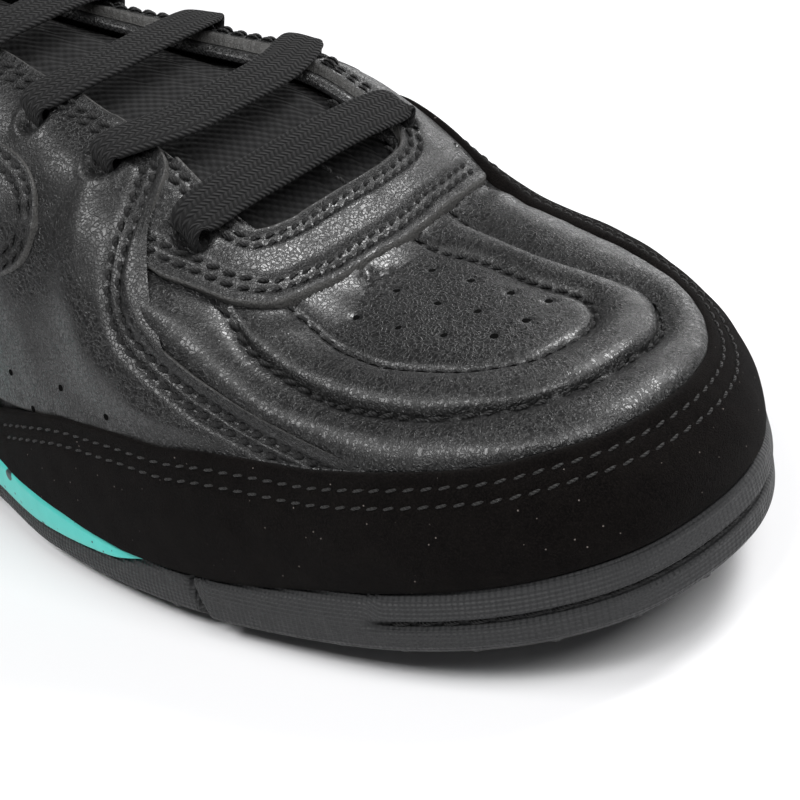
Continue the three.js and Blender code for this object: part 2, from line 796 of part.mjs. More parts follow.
// The tongue follows the ridge under the lacing and stands out of the collar.
function tongue() {
  const face = overlayFace - upperWall - tongueGap;
  const halves = sides.map((side) => ({
    side,
    stations: steps(tongueRear, tongueFront, 12),
    low: (station) => along(tongueEdge, 1, station),
    high: () => 1,
    outer: () => face,
    inner: () => face - tongueThickness,
    rows: 4,
    closeStart: true,
    closeEnd: true,
  }));
  return shell(halves);
}

// One bar of lace: out of the medial eyelet, over the tongue and into the lateral eyelet.
function laceBar(station) {
  const lift = gap + laceThickness / 2;
  const ends = (side) => {
    const up = eyeletUp(side);
    return [
      { side, up, offset: overlayFace - upperWall + 1, width: laceEndWidth },
      { side, up, offset: -0.6, width: laceEndWidth },
      { side, up: up + 0.012, offset: lift + 0.5, width: laceEndWidth + 0.6 },
      { side, up: up + 0.045, offset: lift + 0.6, width: laceWidth },
    ];
  };
  const rise = (side) => [0.86, 0.93].map((up) => ({ side, up, offset: lift + 0.9, width: laceWidth }));
  const path = [...ends(-1), ...rise(-1), { side: 1, up: 1, offset: lift + 0.8, width: laceWidth },
    ...rise(1).reverse(), ...ends(1).reverse()];
  const centres = path.map(({ side, up, offset }) => skin(station, side, up, offset));
  const profile = [[-0.5, 0], [-0.42, -0.5], [0.42, -0.5], [0.5, 0], [0.42, 0.5], [-0.42, 0.5]];
  const rings = centres.map((centre, i) => {
    const before = centres[Math.max(i - 1, 0)];
    const after = centres[Math.min(i + 1, centres.length - 1)];
    const tangent = after.clone().sub(before).normalize();
    const { side, up, offset } = path[i];
    const wide = skin(station + 0.05, side, up, offset).sub(skin(station - 0.05, side, up, offset));
    wide.addScaledVector(tangent, -wide.dot(tangent)).normalize();
    const thick = new THREE.Vector3().crossVectors(tangent, wide);
    return profile.map(([across, out]) => centre.clone()
      .addScaledVector(wide, across * path[i].width)
      .addScaledVector(thick, out * laceThickness));
  });
  const triangles = [];
  for (let i = 0; i < rings.length - 1; i += 1) {
    for (let p = 0; p < profile.length; p += 1) {
      const q = (p + 1) % profile.length;
      addQuad(triangles, rings[i][p], rings[i][q], rings[i + 1][q], rings[i + 1][p]);
    }
  }
  const start = rings[0];
  const end = rings[rings.length - 1];
  for (let p = 1; p < profile.length - 1; p += 1) {
    triangles.push([start[0], start[p + 1], start[p]], [end[0], end[p], end[p + 1]]);
  }
  return solidGeometry(triangles);
}

const finish = {
  rubber: new THREE.MeshStandardMaterial({ color: 0x3b3c3d, roughness: 0.75 }),
  foam: new THREE.MeshStandardMaterial({ color: 0x5fcfc6, roughness: 0.6 }),
  leather: new THREE.MeshStandardMaterial({ color: 0x1f2021, roughness: 0.42 }),
  suede: new THREE.MeshStandardMaterial({ color: 0x1d1a19, roughness: 0.95 }),
  textile: new THREE.MeshStandardMaterial({ color: 0x1a1a1b, roughness: 0.9 }),
  lace: new THREE.MeshStandardMaterial({ color: 0x161617, roughness: 0.85 }),
};

const group = new THREE.Group();

function addPiece(name, geometry, material) {
  const mesh = new THREE.Mesh(geometry, material);
  mesh.name = name;
  group.add(mesh);
}

addPiece("outsole", outsole(), finish.rubber);
addPiece("midsole", midsole(), finish.foam);
addPiece("upper", upper(), finish.leather);
addPiece("toe_cap", toeCap(), finish.suede);
addPiece("quarter_medial", quarter(-1), finish.leather);
addPiece("quarter_lateral", quarter(1), finish.leather);
addPiece("vamp_band", vampBand(), finish.leather);
addPiece("heel_counter", heelCounter(), finish.suede);
addPiece("heel_tab", heelTab(), finish.leather);
addPiece("side_panel_medial", sidePanelPatch(-1), finish.leather);
addPiece("side_panel_lateral", sidePanelPatch(1), finish.leather);
addPiece("tongue", tongue(), finish.textile);
addPiece("insole", insole(), finish.textile);
eyeletStations.forEach((station, i) => {
  addPiece(`lace_bar_${i + 1}`, laceBar(station), finish.lace);
});

export default group;
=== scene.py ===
import math

import bpy
import numpy as np
from mathutils import Matrix, Vector


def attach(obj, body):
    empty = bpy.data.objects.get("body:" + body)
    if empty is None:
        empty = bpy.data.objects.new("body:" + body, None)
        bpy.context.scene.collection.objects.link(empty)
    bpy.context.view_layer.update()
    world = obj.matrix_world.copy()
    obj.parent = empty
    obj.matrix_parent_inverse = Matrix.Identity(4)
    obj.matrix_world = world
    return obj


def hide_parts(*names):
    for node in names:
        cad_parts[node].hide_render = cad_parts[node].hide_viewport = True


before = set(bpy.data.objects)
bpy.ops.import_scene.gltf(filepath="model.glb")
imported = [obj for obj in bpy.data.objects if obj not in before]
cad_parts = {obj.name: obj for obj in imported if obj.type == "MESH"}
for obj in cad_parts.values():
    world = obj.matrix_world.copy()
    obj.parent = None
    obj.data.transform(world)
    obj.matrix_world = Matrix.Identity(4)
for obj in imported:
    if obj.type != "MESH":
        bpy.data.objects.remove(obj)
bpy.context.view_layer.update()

# Turf shoe for the left foot. Shapes are worked out in millimetres in the frame's own axes,
# +X to the toe, +Y to the wearer's left, +Z up, and turned to metres when a mesh is made.
# A place on the upper is (station, v): the station counts along the outline from heel to toe,
# and v runs from -1 at the inner side's joint with the sole, over 0 on the ridge, to 1 outside.

MM = 0.001

# Driving sizes of the form
SOLE_LENGTH, BALL_WIDTH, INSTEP_HEIGHT = 290, 98, 80
HEEL_REST, RIM_HEIGHT, NUB_HEIGHT = 40, 24.5, 3
TOE_SPRING, ARCH_LIFT, HEEL_BULGE, HEEL_LEAN = 9.2, 3, 2.5, 32

# Faces of the layers, as offsets of the form's skin
LEATHER_FACE = 0.0
BAND_FACE = -0.3
BODY_FACE = -1.9
VAMP_FACE = -1.2
CAP_FACE = 0.7
PANEL_FACE = 0.8
COUNTER_FACE = 0.85
QUARTER_FACE = LEATHER_FACE + 0.15
LAYER_BACK = BODY_FACE + 0.1
WALL_FACE, WALL_THICKNESS, COLLAR_PADDING = -1.6, 2.2, 4.3

# Outline of the joint between upper and sole, a row for each station.
# Columns: lateral x, lateral y, medial x, medial y, as shares of SOLE_LENGTH and BALL_WIDTH.
OUTLINE = np.array([
    [0, 0, 0, 0], [0.017, 0.173, 0.017, -0.173], [0.076, 0.306, 0.076, -0.301],
    [0.159, 0.352, 0.162, -0.332], [0.259, 0.362, 0.266, -0.296], [0.362, 0.372, 0.372, -0.265],
    [0.466, 0.408, 0.476, -0.302], [0.562, 0.48, 0.576, -0.4], [0.655, 0.535, 0.676, -0.459],
    [0.745, 0.536, 0.766, -0.472], [0.831, 0.478, 0.862, -0.456], [0.91, 0.345, 0.938, -0.388],
    [0.969, 0.165, 0.986, -0.26], [1, -0.045, 1, -0.045],
])
LOOP = np.vstack([OUTLINE[:-1, 2:], OUTLINE[:0:-1, :2]])
LAST = len(OUTLINE) - 1

# Exponents of each station's rounded section. Columns: station, lateral, medial.
FULLNESS = [
    [0, 2, 2], [1, 2, 2], [2, 2, 2], [3, 2.05, 2.05], [4, 2.1, 2.1], [5, 2.15, 2.15], [6, 2.3, 2.25],
    [7, 3.3, 2.4], [8, 4.2, 2.6], [9, 3.7, 2.7], [10, 3.15, 2.7], [11, 2.85, 2.7], [12, 2.7, 2.7],
    [13, 2.7, 2.7],
]

# Ridge of the form. Columns: share of SOLE_LENGTH, y share of BALL_WIDTH, z share of INSTEP_HEIGHT.
RIDGE = [
    [0, 0, 1.75], [0.207, 0, 1.6], [0.345, 0, 1.36], [0.414, 0, 1.21], [0.483, 0.015, 1.09],
    [0.569, 0, 0.97], [0.655, -0.025, 0.86], [0.717, -0.035, 0.7], [0.766, -0.045, 0.545],
]
RIDGE_BLEND = 14

# Heights of the sole above the nubs, as shares of RIM_HEIGHT.
# Columns: share of SOLE_LENGTH, rim, foot bed, top of the outsole under the wedge.
SOLE_PROFILE = [
    [0, 1, 0.76, 0.2], [0.2, 1, 0.74, 0.2], [0.345, 0.865, 0.62, 0.19], [0.45, 0.653, 0.45, 0.175],
    [0.552, 0.482, 0.34, 0.175], [0.6, 0.415, 0.32, 0.195], [0.65, 0.36, 0.31, 0.24],
    [0.69, 0.347, 0.3, 0.25], [0.75, 0.36, 0.23, 0.23], [0.828, 0.445, 0.2, 0.2], [1, 0.48, 0.2, 0.2],
]
ARCH_CENTRE, ARCH_REACH, SPRING_START = 0.44, 0.13, 0.672
WEDGE_END = 8.28
WEDGE_TAPER = 0.75

# Upper edges. Columns: station, height above the nubs as a share of INSTEP_HEIGHT.
COLLAR_HEIGHTS = [
    [0, 1.1125], [1, 1.0813], [2, 0.9625], [3, 0.8438], [3.6, 0.8313], [4.2, 0.9125], [4.7, 1.0563],
    [5.1, 1.175],
]
# Edge of the throat as shares of the way up. Columns: station, lateral, medial.
THROAT_EDGE = [
    [5.1, 0.7, 0.7], [5.4, 0.79, 0.79], [5.8, 0.83, 0.85], [6.5, 0.83, 0.89], [7.5, 0.79, 0.905],
    [8.2, 0.75, 0.905],
]
THROAT_FRONT, THROAT_ROUND = 8.62, 8.28

# Edge of the suede cap. Columns: station, lateral, medial, as shares of the way up.
CAP_EDGE = [
    [6.2, 0.03, 0.03], [6.6, 0.1, 0.084], [7.35, 0.22, 0.158], [7.9, 0.36, 0.19], [8.4, 0.48, 0.227],
    [8.8, 0.55, 0.285], [9.2, 0.58, 0.33], [9.6, 0.585, 0.345], [10.4, 0.55, 0.358],
    [10.9, 0.47, 0.362], [11.5, 0.395, 0.374], [12.2, 0.35, 0.368], [13, 0.36, 0.36],
]
CAP_START = 6.2
COUNTER_END, COUNTER_TOP, TAB_END = 3.3, 0.31, 0.75

# Side panel. Columns: station, lower and upper edge as shares of INSTEP_HEIGHT above the nubs.
SIDE_PANEL = [
    [3.7, 0.612, 0.612], [3.76, 0.544, 0.681], [4, 0.5, 0.738], [4.4, 0.494, 0.8], [5, 0.525, 0.863],
    [5.6, 0.562, 0.9], [6.2, 0.6, 0.913], [6.7, 0.625, 0.894], [7, 0.65, 0.869], [7.2, 0.694, 0.825],
    [7.28, 0.756, 0.756],
]

# Laces and eyelets
EYELET_PITCH, FIRST_EYELET_X, EYELET_COUNT, EYELET_RADIUS = 18.5, 162.8, 5, 2.7
EYELET_V = {-1: -0.235, 1: 0.3}
LACE_WIDTH, LACE_THICKNESS = 8.4, 1.5

# Stitched loops on the vamp, in plan: x, y.
INNER_LOOP = [
    [160, -16], [168, -18], [174, -19], [178, -19.6], [183.5, -20.4], [190.7, -22.1], [199.2, -23.3],
    [208.3, -21.7], [214.5, -19.1], [220.7, -13.3], [223.3, -4.9], [223, 0], [221, 4.3], [216.6, 7.3],
    [206.7, 8], [193.9, 11.3], [180.5, 12.0], [176, 11.5], [168, 10.5], [160, 9.5],
]
OUTER_LOOP = [
    [150, -21], [160, -24.5], [168, -26.6], [174.1, -28.9], [178, -30.4], [187.5, -31.3], [198, -32.4],
    [206.8, -31.8], [213.8, -30.2], [220.6, -26.8], [226.2, -22.4], [231, -14.7], [233, -5.7],
    [232.8, 2.7], [229.3, 9.7], [223.7, 14.6], [212.7, 15], [201.2, 16.3], [186.9, 21.3],
    [180.5, 23.2], [175, 24.5], [165, 26.5], [152, 28],
]
VAMP_HOLES = np.array([
    [188.3, 5], [197.1, 3.8], [205.9, 2.5], [213, 2.8], [187.1, -3.6], [196.6, -5], [204.5, -5.1],
    [213.7, -4.8], [186.2, -13.6], [194.8, -13.8], [203.6, -13.4], [211.6, -10.8],
])
HOLE_RADIUS = 0.72

# Ruled patches. Columns: station and v of the free edge, station and v of the hidden or lower edge.
QUARTER_FRONT = [
    [6.6, -0.112, 6.55, -0.9], [7.1, -0.1, 7.0, -0.87], [7.5, -0.096, 7.4, -0.845],
    [7.8, -0.1, 7.75, -0.825], [7.96, -0.125, 8.1, -0.805], [8.03, -0.2, 8.35, -0.785],
    [8.06, -0.29, 8.6, -0.765], [8.07, -0.385, 8.85, -0.74], [8.1, -0.47, 9.05, -0.71],
    [8.22, -0.53, 9.25, -0.69], [8.57, -0.543, 9.45, -0.68], [8.96, -0.54, 9.65, -0.67],
    [9.44, -0.56, 9.9, -0.665], [10.1, -0.66, 10.15, -0.668],
]
BAND = [
    [8.0, -0.43, 7.95, -0.085], [8.12, -0.392, 8.06, -0.09], [8.25, -0.379, 8.17, -0.094],
    [8.41, -0.347, 8.29, -0.102], [8.57, -0.315, 8.42, -0.105], [8.69, -0.288, 8.51, -0.095],
    [8.87, -0.22, 8.56, -0.06], [8.98, -0.15, 8.585, -0.03], [9.06, -0.08, 8.61, 0.0],
    [9.14, -0.02, 8.635, 0.04], [9.2, 0.03, 8.645, 0.09], [9.2, 0.09, 8.635, 0.15],
    [9.15, 0.17, 8.6, 0.205], [9.12, 0.24, 8.5, 0.245], [9.03, 0.4, 8.3, 0.258],
    [8.8, 0.46, 8.1, 0.252], [8.4, 0.54, 7.9, 0.242], [7.95, 0.66, 7.74, 0.23],
]


def hermite(table, column, u):
    """A table's column at u: cubic pieces through the rows, each row's slope taken from its neighbours."""
    rows = np.asarray(table, float)
    x, y = rows[:, 0], rows[:, column]
    slope = np.empty(len(x))
    slope[1:-1] = (y[2:] - y[:-2]) / (x[2:] - x[:-2])
    slope[0] = (y[1] - y[0]) / (x[1] - x[0])
    slope[-1] = (y[-1] - y[-2]) / (x[-1] - x[-2])
    u = np.clip(u, x[0], x[-1])
    i = np.clip(np.searchsorted(x, u, side="right") - 1, 0, len(x) - 2)
    span = x[i + 1] - x[i]
    t = (u - x[i]) / span
    start = (1 + 2 * t) * (1 - t) ** 2 * y[i] + t * (1 - t) ** 2 * span * slope[i]
    return start + t * t * (3 - 2 * t) * y[i + 1] + t * t * (t - 1) * span * slope[i + 1]


def fade(low, high, u):
    """0 below low, 1 above high and a smooth cubic step between."""
    t = np.clip((u - low) / (high - low), 0, 1)
    return t * t * (3 - 2 * t)


def catmull(a, b, c, d, f):
    """Catmull-Rom curve between b and c at the fraction f."""
    return b + 0.5 * f * (c - a + f * (2 * a - 5 * b + 4 * c - d + f * (3 * b - a - 3 * c + d)))


def loop_point(t):
    """The joint's outline as one closed Catmull-Rom curve: inner side from heel to toe, outer side back."""
    t = np.asarray(t, float)
    i = np.floor(t).astype(int)
    rows = [LOOP[(i + k) % len(LOOP)] for k in (-1, 0, 1, 2)]
    return catmull(*rows, (t - i)[..., None]) * (SOLE_LENGTH, BALL_WIDTH) - (HEEL_REST, 0)


def loop_place(station, side):
    return np.where(side < 0, station, 2 * LAST - station)


def unit(vectors):
    return vectors / np.linalg.norm(vectors, axis=-1, keepdims=True)


def edge_point(t, offset=0.0):
    """Point of the outline moved outwards by offset along its normal."""
    ahead = unit(loop_point(np.asarray(t) + 0.01) - loop_point(np.asarray(t) - 0.01))
    out = np.stack([ahead[..., 1], -ahead[..., 0]], -1)
    return loop_point(t) + out * np.asarray(offset, float)[..., None]


def share(x):
    return (x + HEEL_REST) / SOLE_LENGTH


def spring(x):
    return TOE_SPRING * np.clip((share(x) - SPRING_START) / (1 - SPRING_START), 0, None) ** 2


def bottom_z(x):
    reach = np.clip(np.abs(share(x) - ARCH_CENTRE) / ARCH_REACH, 0, 1)
    return NUB_HEIGHT + ARCH_LIFT * np.cos(reach * math.pi / 2) ** 2 + spring(x)


def rim_z(x):
    return NUB_HEIGHT + spring(x) + RIM_HEIGHT * hermite(SOLE_PROFILE, 1, share(x))


def bed_z(x):
    return NUB_HEIGHT + spring(x) + RIM_HEIGHT * hermite(SOLE_PROFILE, 2, share(x))


def split_z(x):
    return bottom_z(x) + RIM_HEIGHT * hermite(SOLE_PROFILE, 3, share(x))


def ridge_point(station):
    """Top of the form over a station: it follows the section's middle and stops softly at both ends."""
    middle = (edge_point(station)[..., 0] + edge_point(2 * LAST - np.asarray(station))[..., 0]) / 2
    front = RIDGE[-1][0] * SOLE_LENGTH - HEEL_REST
    back = HEEL_LEAN - HEEL_REST
    near = np.abs(middle - front) < RIDGE_BLEND
    eased = front - (front + RIDGE_BLEND - middle) ** 2 / (4 * RIDGE_BLEND)
    x = np.where(near, eased, np.minimum(middle, front))
    x = np.where(middle < back + HEEL_LEAN, back + (middle + HEEL_REST) ** 2 / (4 * HEEL_LEAN), x)
    y = hermite(RIDGE, 1, share(x)) * BALL_WIDTH
    return np.stack([x, y, NUB_HEIGHT + hermite(RIDGE, 2, share(x)) * INSTEP_HEIGHT], -1)


def skin(station, v, offset=0.0):
    """Point of the form: each section is a rounded arch, 1 - cos^e of the way in and sin^e of the way up."""
    station, v, offset = np.broadcast_arrays(np.asarray(station, float), np.asarray(v, float), offset)
    side = np.where(v < 0, -1, 1)
    up = np.clip(1 - np.abs(v), 0, 1)
    power = 2 / np.where(side > 0, hermite(FULLNESS, 1, station), hermite(FULLNESS, 2, station))
    angle = up * math.pi / 2
    inward = 1 - np.clip(np.cos(angle), 0, 1) ** power
    rise = np.sin(angle) ** power
    swell = HEEL_BULGE * np.clip(1 - station / 4, 0, 1) * np.sin(np.clip(up / 0.42, 0, 1) * math.pi)
    t = loop_place(station, side)
    foot = edge_point(t, offset + swell)
    top = ridge_point(station)
    base = rim_z(edge_point(t)[..., 0])
    plan = foot + (top[..., :2] - foot) * inward[..., None]
    return np.concatenate([plan, (base + (top[..., 2] + offset - base) * rise)[..., None]], -1)


def outward(station, v):
    """Direction in which a larger offset moves a point of the form."""
    return unit(skin(station, v, 1.0) - skin(station, v, 0.0))


def v_at(station, side, height):
    """Place on a section at a height above the floor."""
    power = 2 / hermite(FULLNESS, 1 if side > 0 else 2, station)
    base = rim_z(edge_point(loop_place(np.asarray(station, float), side))[..., 0])
    rise = np.clip((height - base) / (ridge_point(station)[..., 2] - base), 0, 1)
    return side * (1 - np.arcsin(rise ** (1 / power)) * 2 / math.pi)


def height_of(part):
    return NUB_HEIGHT + INSTEP_HEIGHT * part


def even_v(station, low, high, part):
    """v between two edges, part of the way by the angle round the section, which spreads rows evenly."""
    def angle(v):
        n = np.where(v < 0, hermite(FULLNESS, 2, station), hermite(FULLNESS, 1, station))
        turn = np.tan(np.clip(1 - np.abs(v), 0, 1) * math.pi / 2 * 0.99999) ** (2 / n)
        return np.sign(v) * (1 - np.arctan(turn) * 2 / math.pi)
    a, b = angle(low), angle(high)
    w = a + (b - a) * part
    n = np.where(w < 0, hermite(FULLNESS, 2, station), hermite(FULLNESS, 1, station))
    turn = np.tan((1 - np.abs(w)) * math.pi / 2 * 0.99999) ** (n / 2)
    return np.sign(w) * (1 - np.arctan(turn) * 2 / math.pi)


def run_length(points):
    """Length along a line of points up to each of them."""
    return np.concatenate([[0], np.cumsum(np.linalg.norm(np.diff(points, axis=0), axis=-1))])


def sample(at, run, rows):
    """Rows read off at lengths along their line, where run gives the length up to each row."""
    return np.stack([np.interp(at, run, column) for column in rows.T], -1)


def curve(rows, step, measure=None):
    """Smooth curve through a table's rows, resampled step millimetres apart where measure puts them."""
    rows = np.asarray(rows, float)
    padded = np.vstack([2 * rows[0] - rows[1], rows, 2 * rows[-1] - rows[-2]])
    t = np.linspace(0, len(rows) - 1, 50 * (len(rows) - 1) + 1)
    i = np.minimum(t.astype(int), len(rows) - 2)
    dense = catmull(*(padded[i + k] for k in range(4)), (t - i)[:, None])
    run = run_length(dense if measure is None else measure(dense))
    at = np.linspace(0, run[-1], max(2, int(round(run[-1] / step)) + 1))
    return sample(at, run, dense)


def on_skin(rows):
    return skin(rows[:, 0], rows[:, 1])


def distance(points, path):
    """Distance from each point to a densely drawn path, and how far along the path the nearest place lies."""
    flat = points.reshape(-1, points.shape[-1])
    run = run_length(path)
    near, along = np.empty(len(flat)), np.empty(len(flat))
    for start in range(0, len(flat), 4000):
        part = flat[start:start + 4000]
        squares = (part ** 2).sum(1)[:, None] - 2 * part @ path.T + (path ** 2).sum(1)
        best = squares.argmin(1)
        near[start:start + 4000] = np.sqrt(np.maximum(squares[np.arange(len(part)), best], 0))
        along[start:start + 4000] = run[best]
    return near.reshape(points.shape[:-1]), along.reshape(points.shape[:-1])


def inside(points, path):
    """Whether plan points lie inside the closed shape of a path, by counting the edges beyond them."""
    x, y = points[..., 0].ravel(), points[..., 1].ravel()
    a, b = path[:, :2], np.roll(path[:, :2], -1, axis=0)
    crosses = np.zeros(len(x), int)
    for (ax, ay), (bx, by) in zip(a, b):
        if ay != by:
            hit = ((ay > y) != (by > y)) & (x < ax + (y - ay) * (bx - ax) / (by - ay))
            crosses += hit
    return (crosses % 2 == 1).reshape(points.shape[:-1])


def dents(points, paths, depth, width):
    """Depth of grooves with a bell's section that run along paths."""
    return sum(depth * np.exp(-(distance(points, path)[0] / width) ** 2) for path in paths)


def ripple(points, size, height):
    """Soft unevenness of worked leather: crossed sine waves of different lengths."""
    x, y, z = (points[..., k] / size for k in range(3))
    waves = np.sin(1.3 * x + 0.8 * y + 0.5) * np.sin(1.1 * y - 0.9 * z + 1.7)
    return height * (waves + 0.6 * np.sin(2.9 * z + 1.9 * x + 2.1) * np.sin(2.3 * x - 3.1 * y + 0.4)) / 1.6


def make_mesh(name, points, faces, uv, slots=(), slot_of=None, marks=None):
    """A mesh piece in metres. Equal corners become one, faces this flattens go, and uv is in millimetres."""
    keys = np.round(points * 400).astype(np.int64)
    _, first, same = np.unique(keys, axis=0, return_index=True, return_inverse=True)
    corners = same.reshape(-1)[faces]
    keep = corners != np.roll(corners, -1, axis=1)
    solid = keep.sum(1) >= 3
    keep = keep[solid]
    starts = np.concatenate([[0], np.cumsum(keep.sum(1))[:-1]])
    mesh = bpy.data.meshes.new(name)
    mesh.vertices.add(len(first))
    mesh.vertices.foreach_set("co", (points[first] * MM).ravel())
    mesh.loops.add(int(keep.sum()))
    mesh.loops.foreach_set("vertex_index", corners[solid][keep])
    mesh.polygons.add(len(starts))
    mesh.polygons.foreach_set("loop_start", starts)
    for slot in slots:
        mesh.materials.append(slot)
    if slot_of is not None:
        mesh.polygons.foreach_set("material_index", slot_of[solid].astype(np.int32))
    mesh.update(calc_edges=True)
    layer = mesh.uv_layers.new(name="UVMap")
    layer.uv.foreach_set("vector", (uv[faces[solid][keep]] * MM).ravel())
    for label, values in (marks or {}).items():
        mark = mesh.attributes.new(label, "FLOAT", "POINT")
        mark.data.foreach_set("value", values[first].astype(np.float32))
    mesh.validate()
    mesh.shade_smooth()
    mesh.set_sharp_from_angle(angle=math.radians(55))
    piece = bpy.data.objects.new(name, mesh)
    bpy.context.scene.collection.objects.link(piece)
    return piece


def grid_faces(n, m, start=0, flip=False):
    """Quads of a grid of n by m points."""
    i, j = np.meshgrid(np.arange(n - 1), np.arange(m - 1), indexing="ij")
    a = (i * m + j + start).ravel()
    quads = np.stack([a, a + m, a + m + 1, a + 1], -1)
    return quads[:, ::-1] if flip else quads


def repeated(faces, count, size):
    """Faces of a number of equal pieces of size points each, one after another."""
    return (faces[None] + (np.arange(count) * size)[:, None, None]).reshape(-1, 4)


def shell(name, outer, inner, uv, slots, marks=None, joined_end=False):
    """Closed wall between two grids: outer face, inner face turned round, and a rim round both.

    With joined_end the last row is folded onto itself, so it closes without a rim.
    """
    n, m = outer.shape[:2]
    size = n * m
    i, j = np.arange(n - 1), np.arange(m - 1)
    low, high = i * m, i * m + m - 1
    end = (n - 1) * m
    rims = [
        np.stack([low + size, low + m + size, low + m, low], -1),
        np.stack([high, high + m, high + m + size, high + size], -1),
        np.stack([j + size, j, j + 1, j + 1 + size], -1),
        np.stack([end + j + 1 + size, end + j + 1, end + j, end + j + size], -1),
    ]
    faces = np.concatenate([grid_faces(n, m), grid_faces(n, m, size, True), *rims[:3 if joined_end else 4]])
    points = np.concatenate([outer.reshape(-1, 3), inner.reshape(-1, 3)])
    doubled = {label: np.tile(values.ravel(), 2) for label, values in (marks or {}).items()}
    return make_mesh(name, points, faces, np.tile(uv.reshape(-1, 2), (2, 1)), slots, marks=doubled)


def surface_uv(grid):
    """Lengths along and across a grid of points, in millimetres, measured on its middle lines."""
    n, m = grid.shape[:2]
    u = run_length(grid[:, m // 2])
    gaps = np.linalg.norm(np.diff(grid, axis=1), axis=-1)
    v = np.concatenate([np.zeros((n, 1)), np.cumsum(gaps, axis=1)], 1)
    return np.stack([np.broadcast_to(u[:, None], (n, m)), v], -1)


def rounded_rows(width, count, radius):
    """Rows across a patch from 0 to 1, closer together where its edges are rounded."""
    into = radius * (1 - np.cos(np.linspace(0, math.pi / 2, 6))) / width
    middle = np.linspace(into[-1], 1 - into[-1], count + 1)[1:-1]
    return np.concatenate([into, middle, 1 - into[::-1]])


def own(piece, slot, *nodes):
    """Ties a finished piece to the frame's body and hides the solids that it stands for. The slot argument is
    not used.
    """
    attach(piece, "root")
    if nodes:
        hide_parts(*nodes)
    return piece


STITCH_RINGS, STITCH_SIDES = 6, 6


def stitches(name, lines, material, pitch=3.1, length=2.5, width=0.7, height=0.42, turn=14.0, lift=0.05):
    """Thread along lines of (points, outward directions): each stitch is a capsule that dips at both ends.

    Along the capsule its radius is the fourth root of 1 - s^4, and its middle stands height above its ends.
    """
    s = np.linspace(-1, 1, STITCH_RINGS)
    ring = np.linspace(0, 2 * math.pi, STITCH_SIDES, endpoint=False)
    girth = (1 - np.abs(s * 0.985) ** 4) ** 0.5
    along = np.repeat(s * 0.5, STITCH_SIDES)
    across = np.outer(girth, np.cos(ring)).ravel() * 0.5
    out = np.outer(girth, np.sin(ring)).ravel() * 0.5
    arch = np.repeat(1 - s ** 2, STITCH_SIDES)
    quad = grid_faces(STITCH_RINGS, STITCH_SIDES)
    k = np.arange(STITCH_RINGS - 1) * STITCH_SIDES
    seam = np.stack([k + STITCH_SIDES - 1, k + 2 * STITCH_SIDES - 1, k + STITCH_SIDES, k], -1)
    tips = np.array([[0, 1, 2, 3], [0, 3, 4, 5]])
    last = (STITCH_RINGS - 1) * STITCH_SIDES
    faces = np.concatenate([quad, seam, tips, tips[:, ::-1] + last])
    centres, ways, ups = [], [], []
    for points, directions in lines:
        run = run_length(points)
        count = max(1, int(run[-1] / pitch))
        at = (np.arange(count) + 0.5) * run[-1] / count
        centres.append(sample(at, run, points))
        ways.append(sample(at + 0.6, run, points) - sample(at - 0.6, run, points))
        ups.append(sample(at, run, directions))
    centre, way, up = (np.concatenate(part) for part in (centres, ways, ups))
    way = unit(way)
    up = unit(up - way * (up * way).sum(1, keepdims=True))
    beside = np.cross(up, way)
    lean = math.radians(turn)
    c, s = math.cos(lean), math.sin(lean)
    way, beside = way * c + beside * s, beside * c - way * s
    body = (
        centre[:, None] + way[:, None] * (along * length)[None, :, None]
        + beside[:, None] * (across * width)[None, :, None]
        + up[:, None] * (out * width * 0.8 + arch * height + lift - height * 0.35)[None, :, None]
    )
    count, size = body.shape[:2]
    faces = repeated(faces, count, size)
    uv = np.tile(np.stack([along * length, across * width], -1), (count, 1))
    shift = np.repeat(np.arange(count) * 3.7, size)[:, None]
    return own(make_mesh(name, body.reshape(-1, 3), faces, uv + shift, [material]), "thread")


def newton(rows, goals):
    """Moves (station, v) rows until the skin there meets the goals, by four damped least squares steps."""
    rows = rows.copy()
    for _ in range(4):
        here = on_skin(rows)
        d_station = (skin(rows[:, 0] + 0.01, rows[:, 1]) - skin(rows[:, 0] - 0.01, rows[:, 1])) / 0.02
        d_v = (skin(rows[:, 0], rows[:, 1] + 0.004) - skin(rows[:, 0], rows[:, 1] - 0.004)) / 0.008
        left = goals - here
        aa, bb, ab = (d_station ** 2).sum(1), (d_v ** 2).sum(1), (d_station * d_v).sum(1)
        ra, rb = (left * d_station).sum(1), (left * d_v).sum(1)
        det = aa * bb - ab ** 2 + 1e-6
        rows[:, 0] += np.clip((ra * bb - rb * ab) / det, -0.2, 0.2)
        rows[:, 1] += np.clip((rb * aa - ra * ab) / det, -0.05, 0.05)
    return rows


def shifted(rows, by):
    """A line of (station, v) rows moved over the skin by some millimetres, to its left seen from outside."""
    points, up = on_skin(rows), outward(rows[:, 0], rows[:, 1])
    way = np.gradient(points, axis=0)
    return newton(rows, points + unit(np.cross(up, way)) * by)


def rim_chart(t, up):
    """Turns (place on the whole outline, way up) into (station, v)."""
    t = np.mod(t, 2 * LAST)
    side = np.where(t <= LAST, -1.0, 1.0)
    return np.where(side < 0, t, 2 * LAST - t), side * (1 - up)


def ridge_chart(station, v):
    return station, v


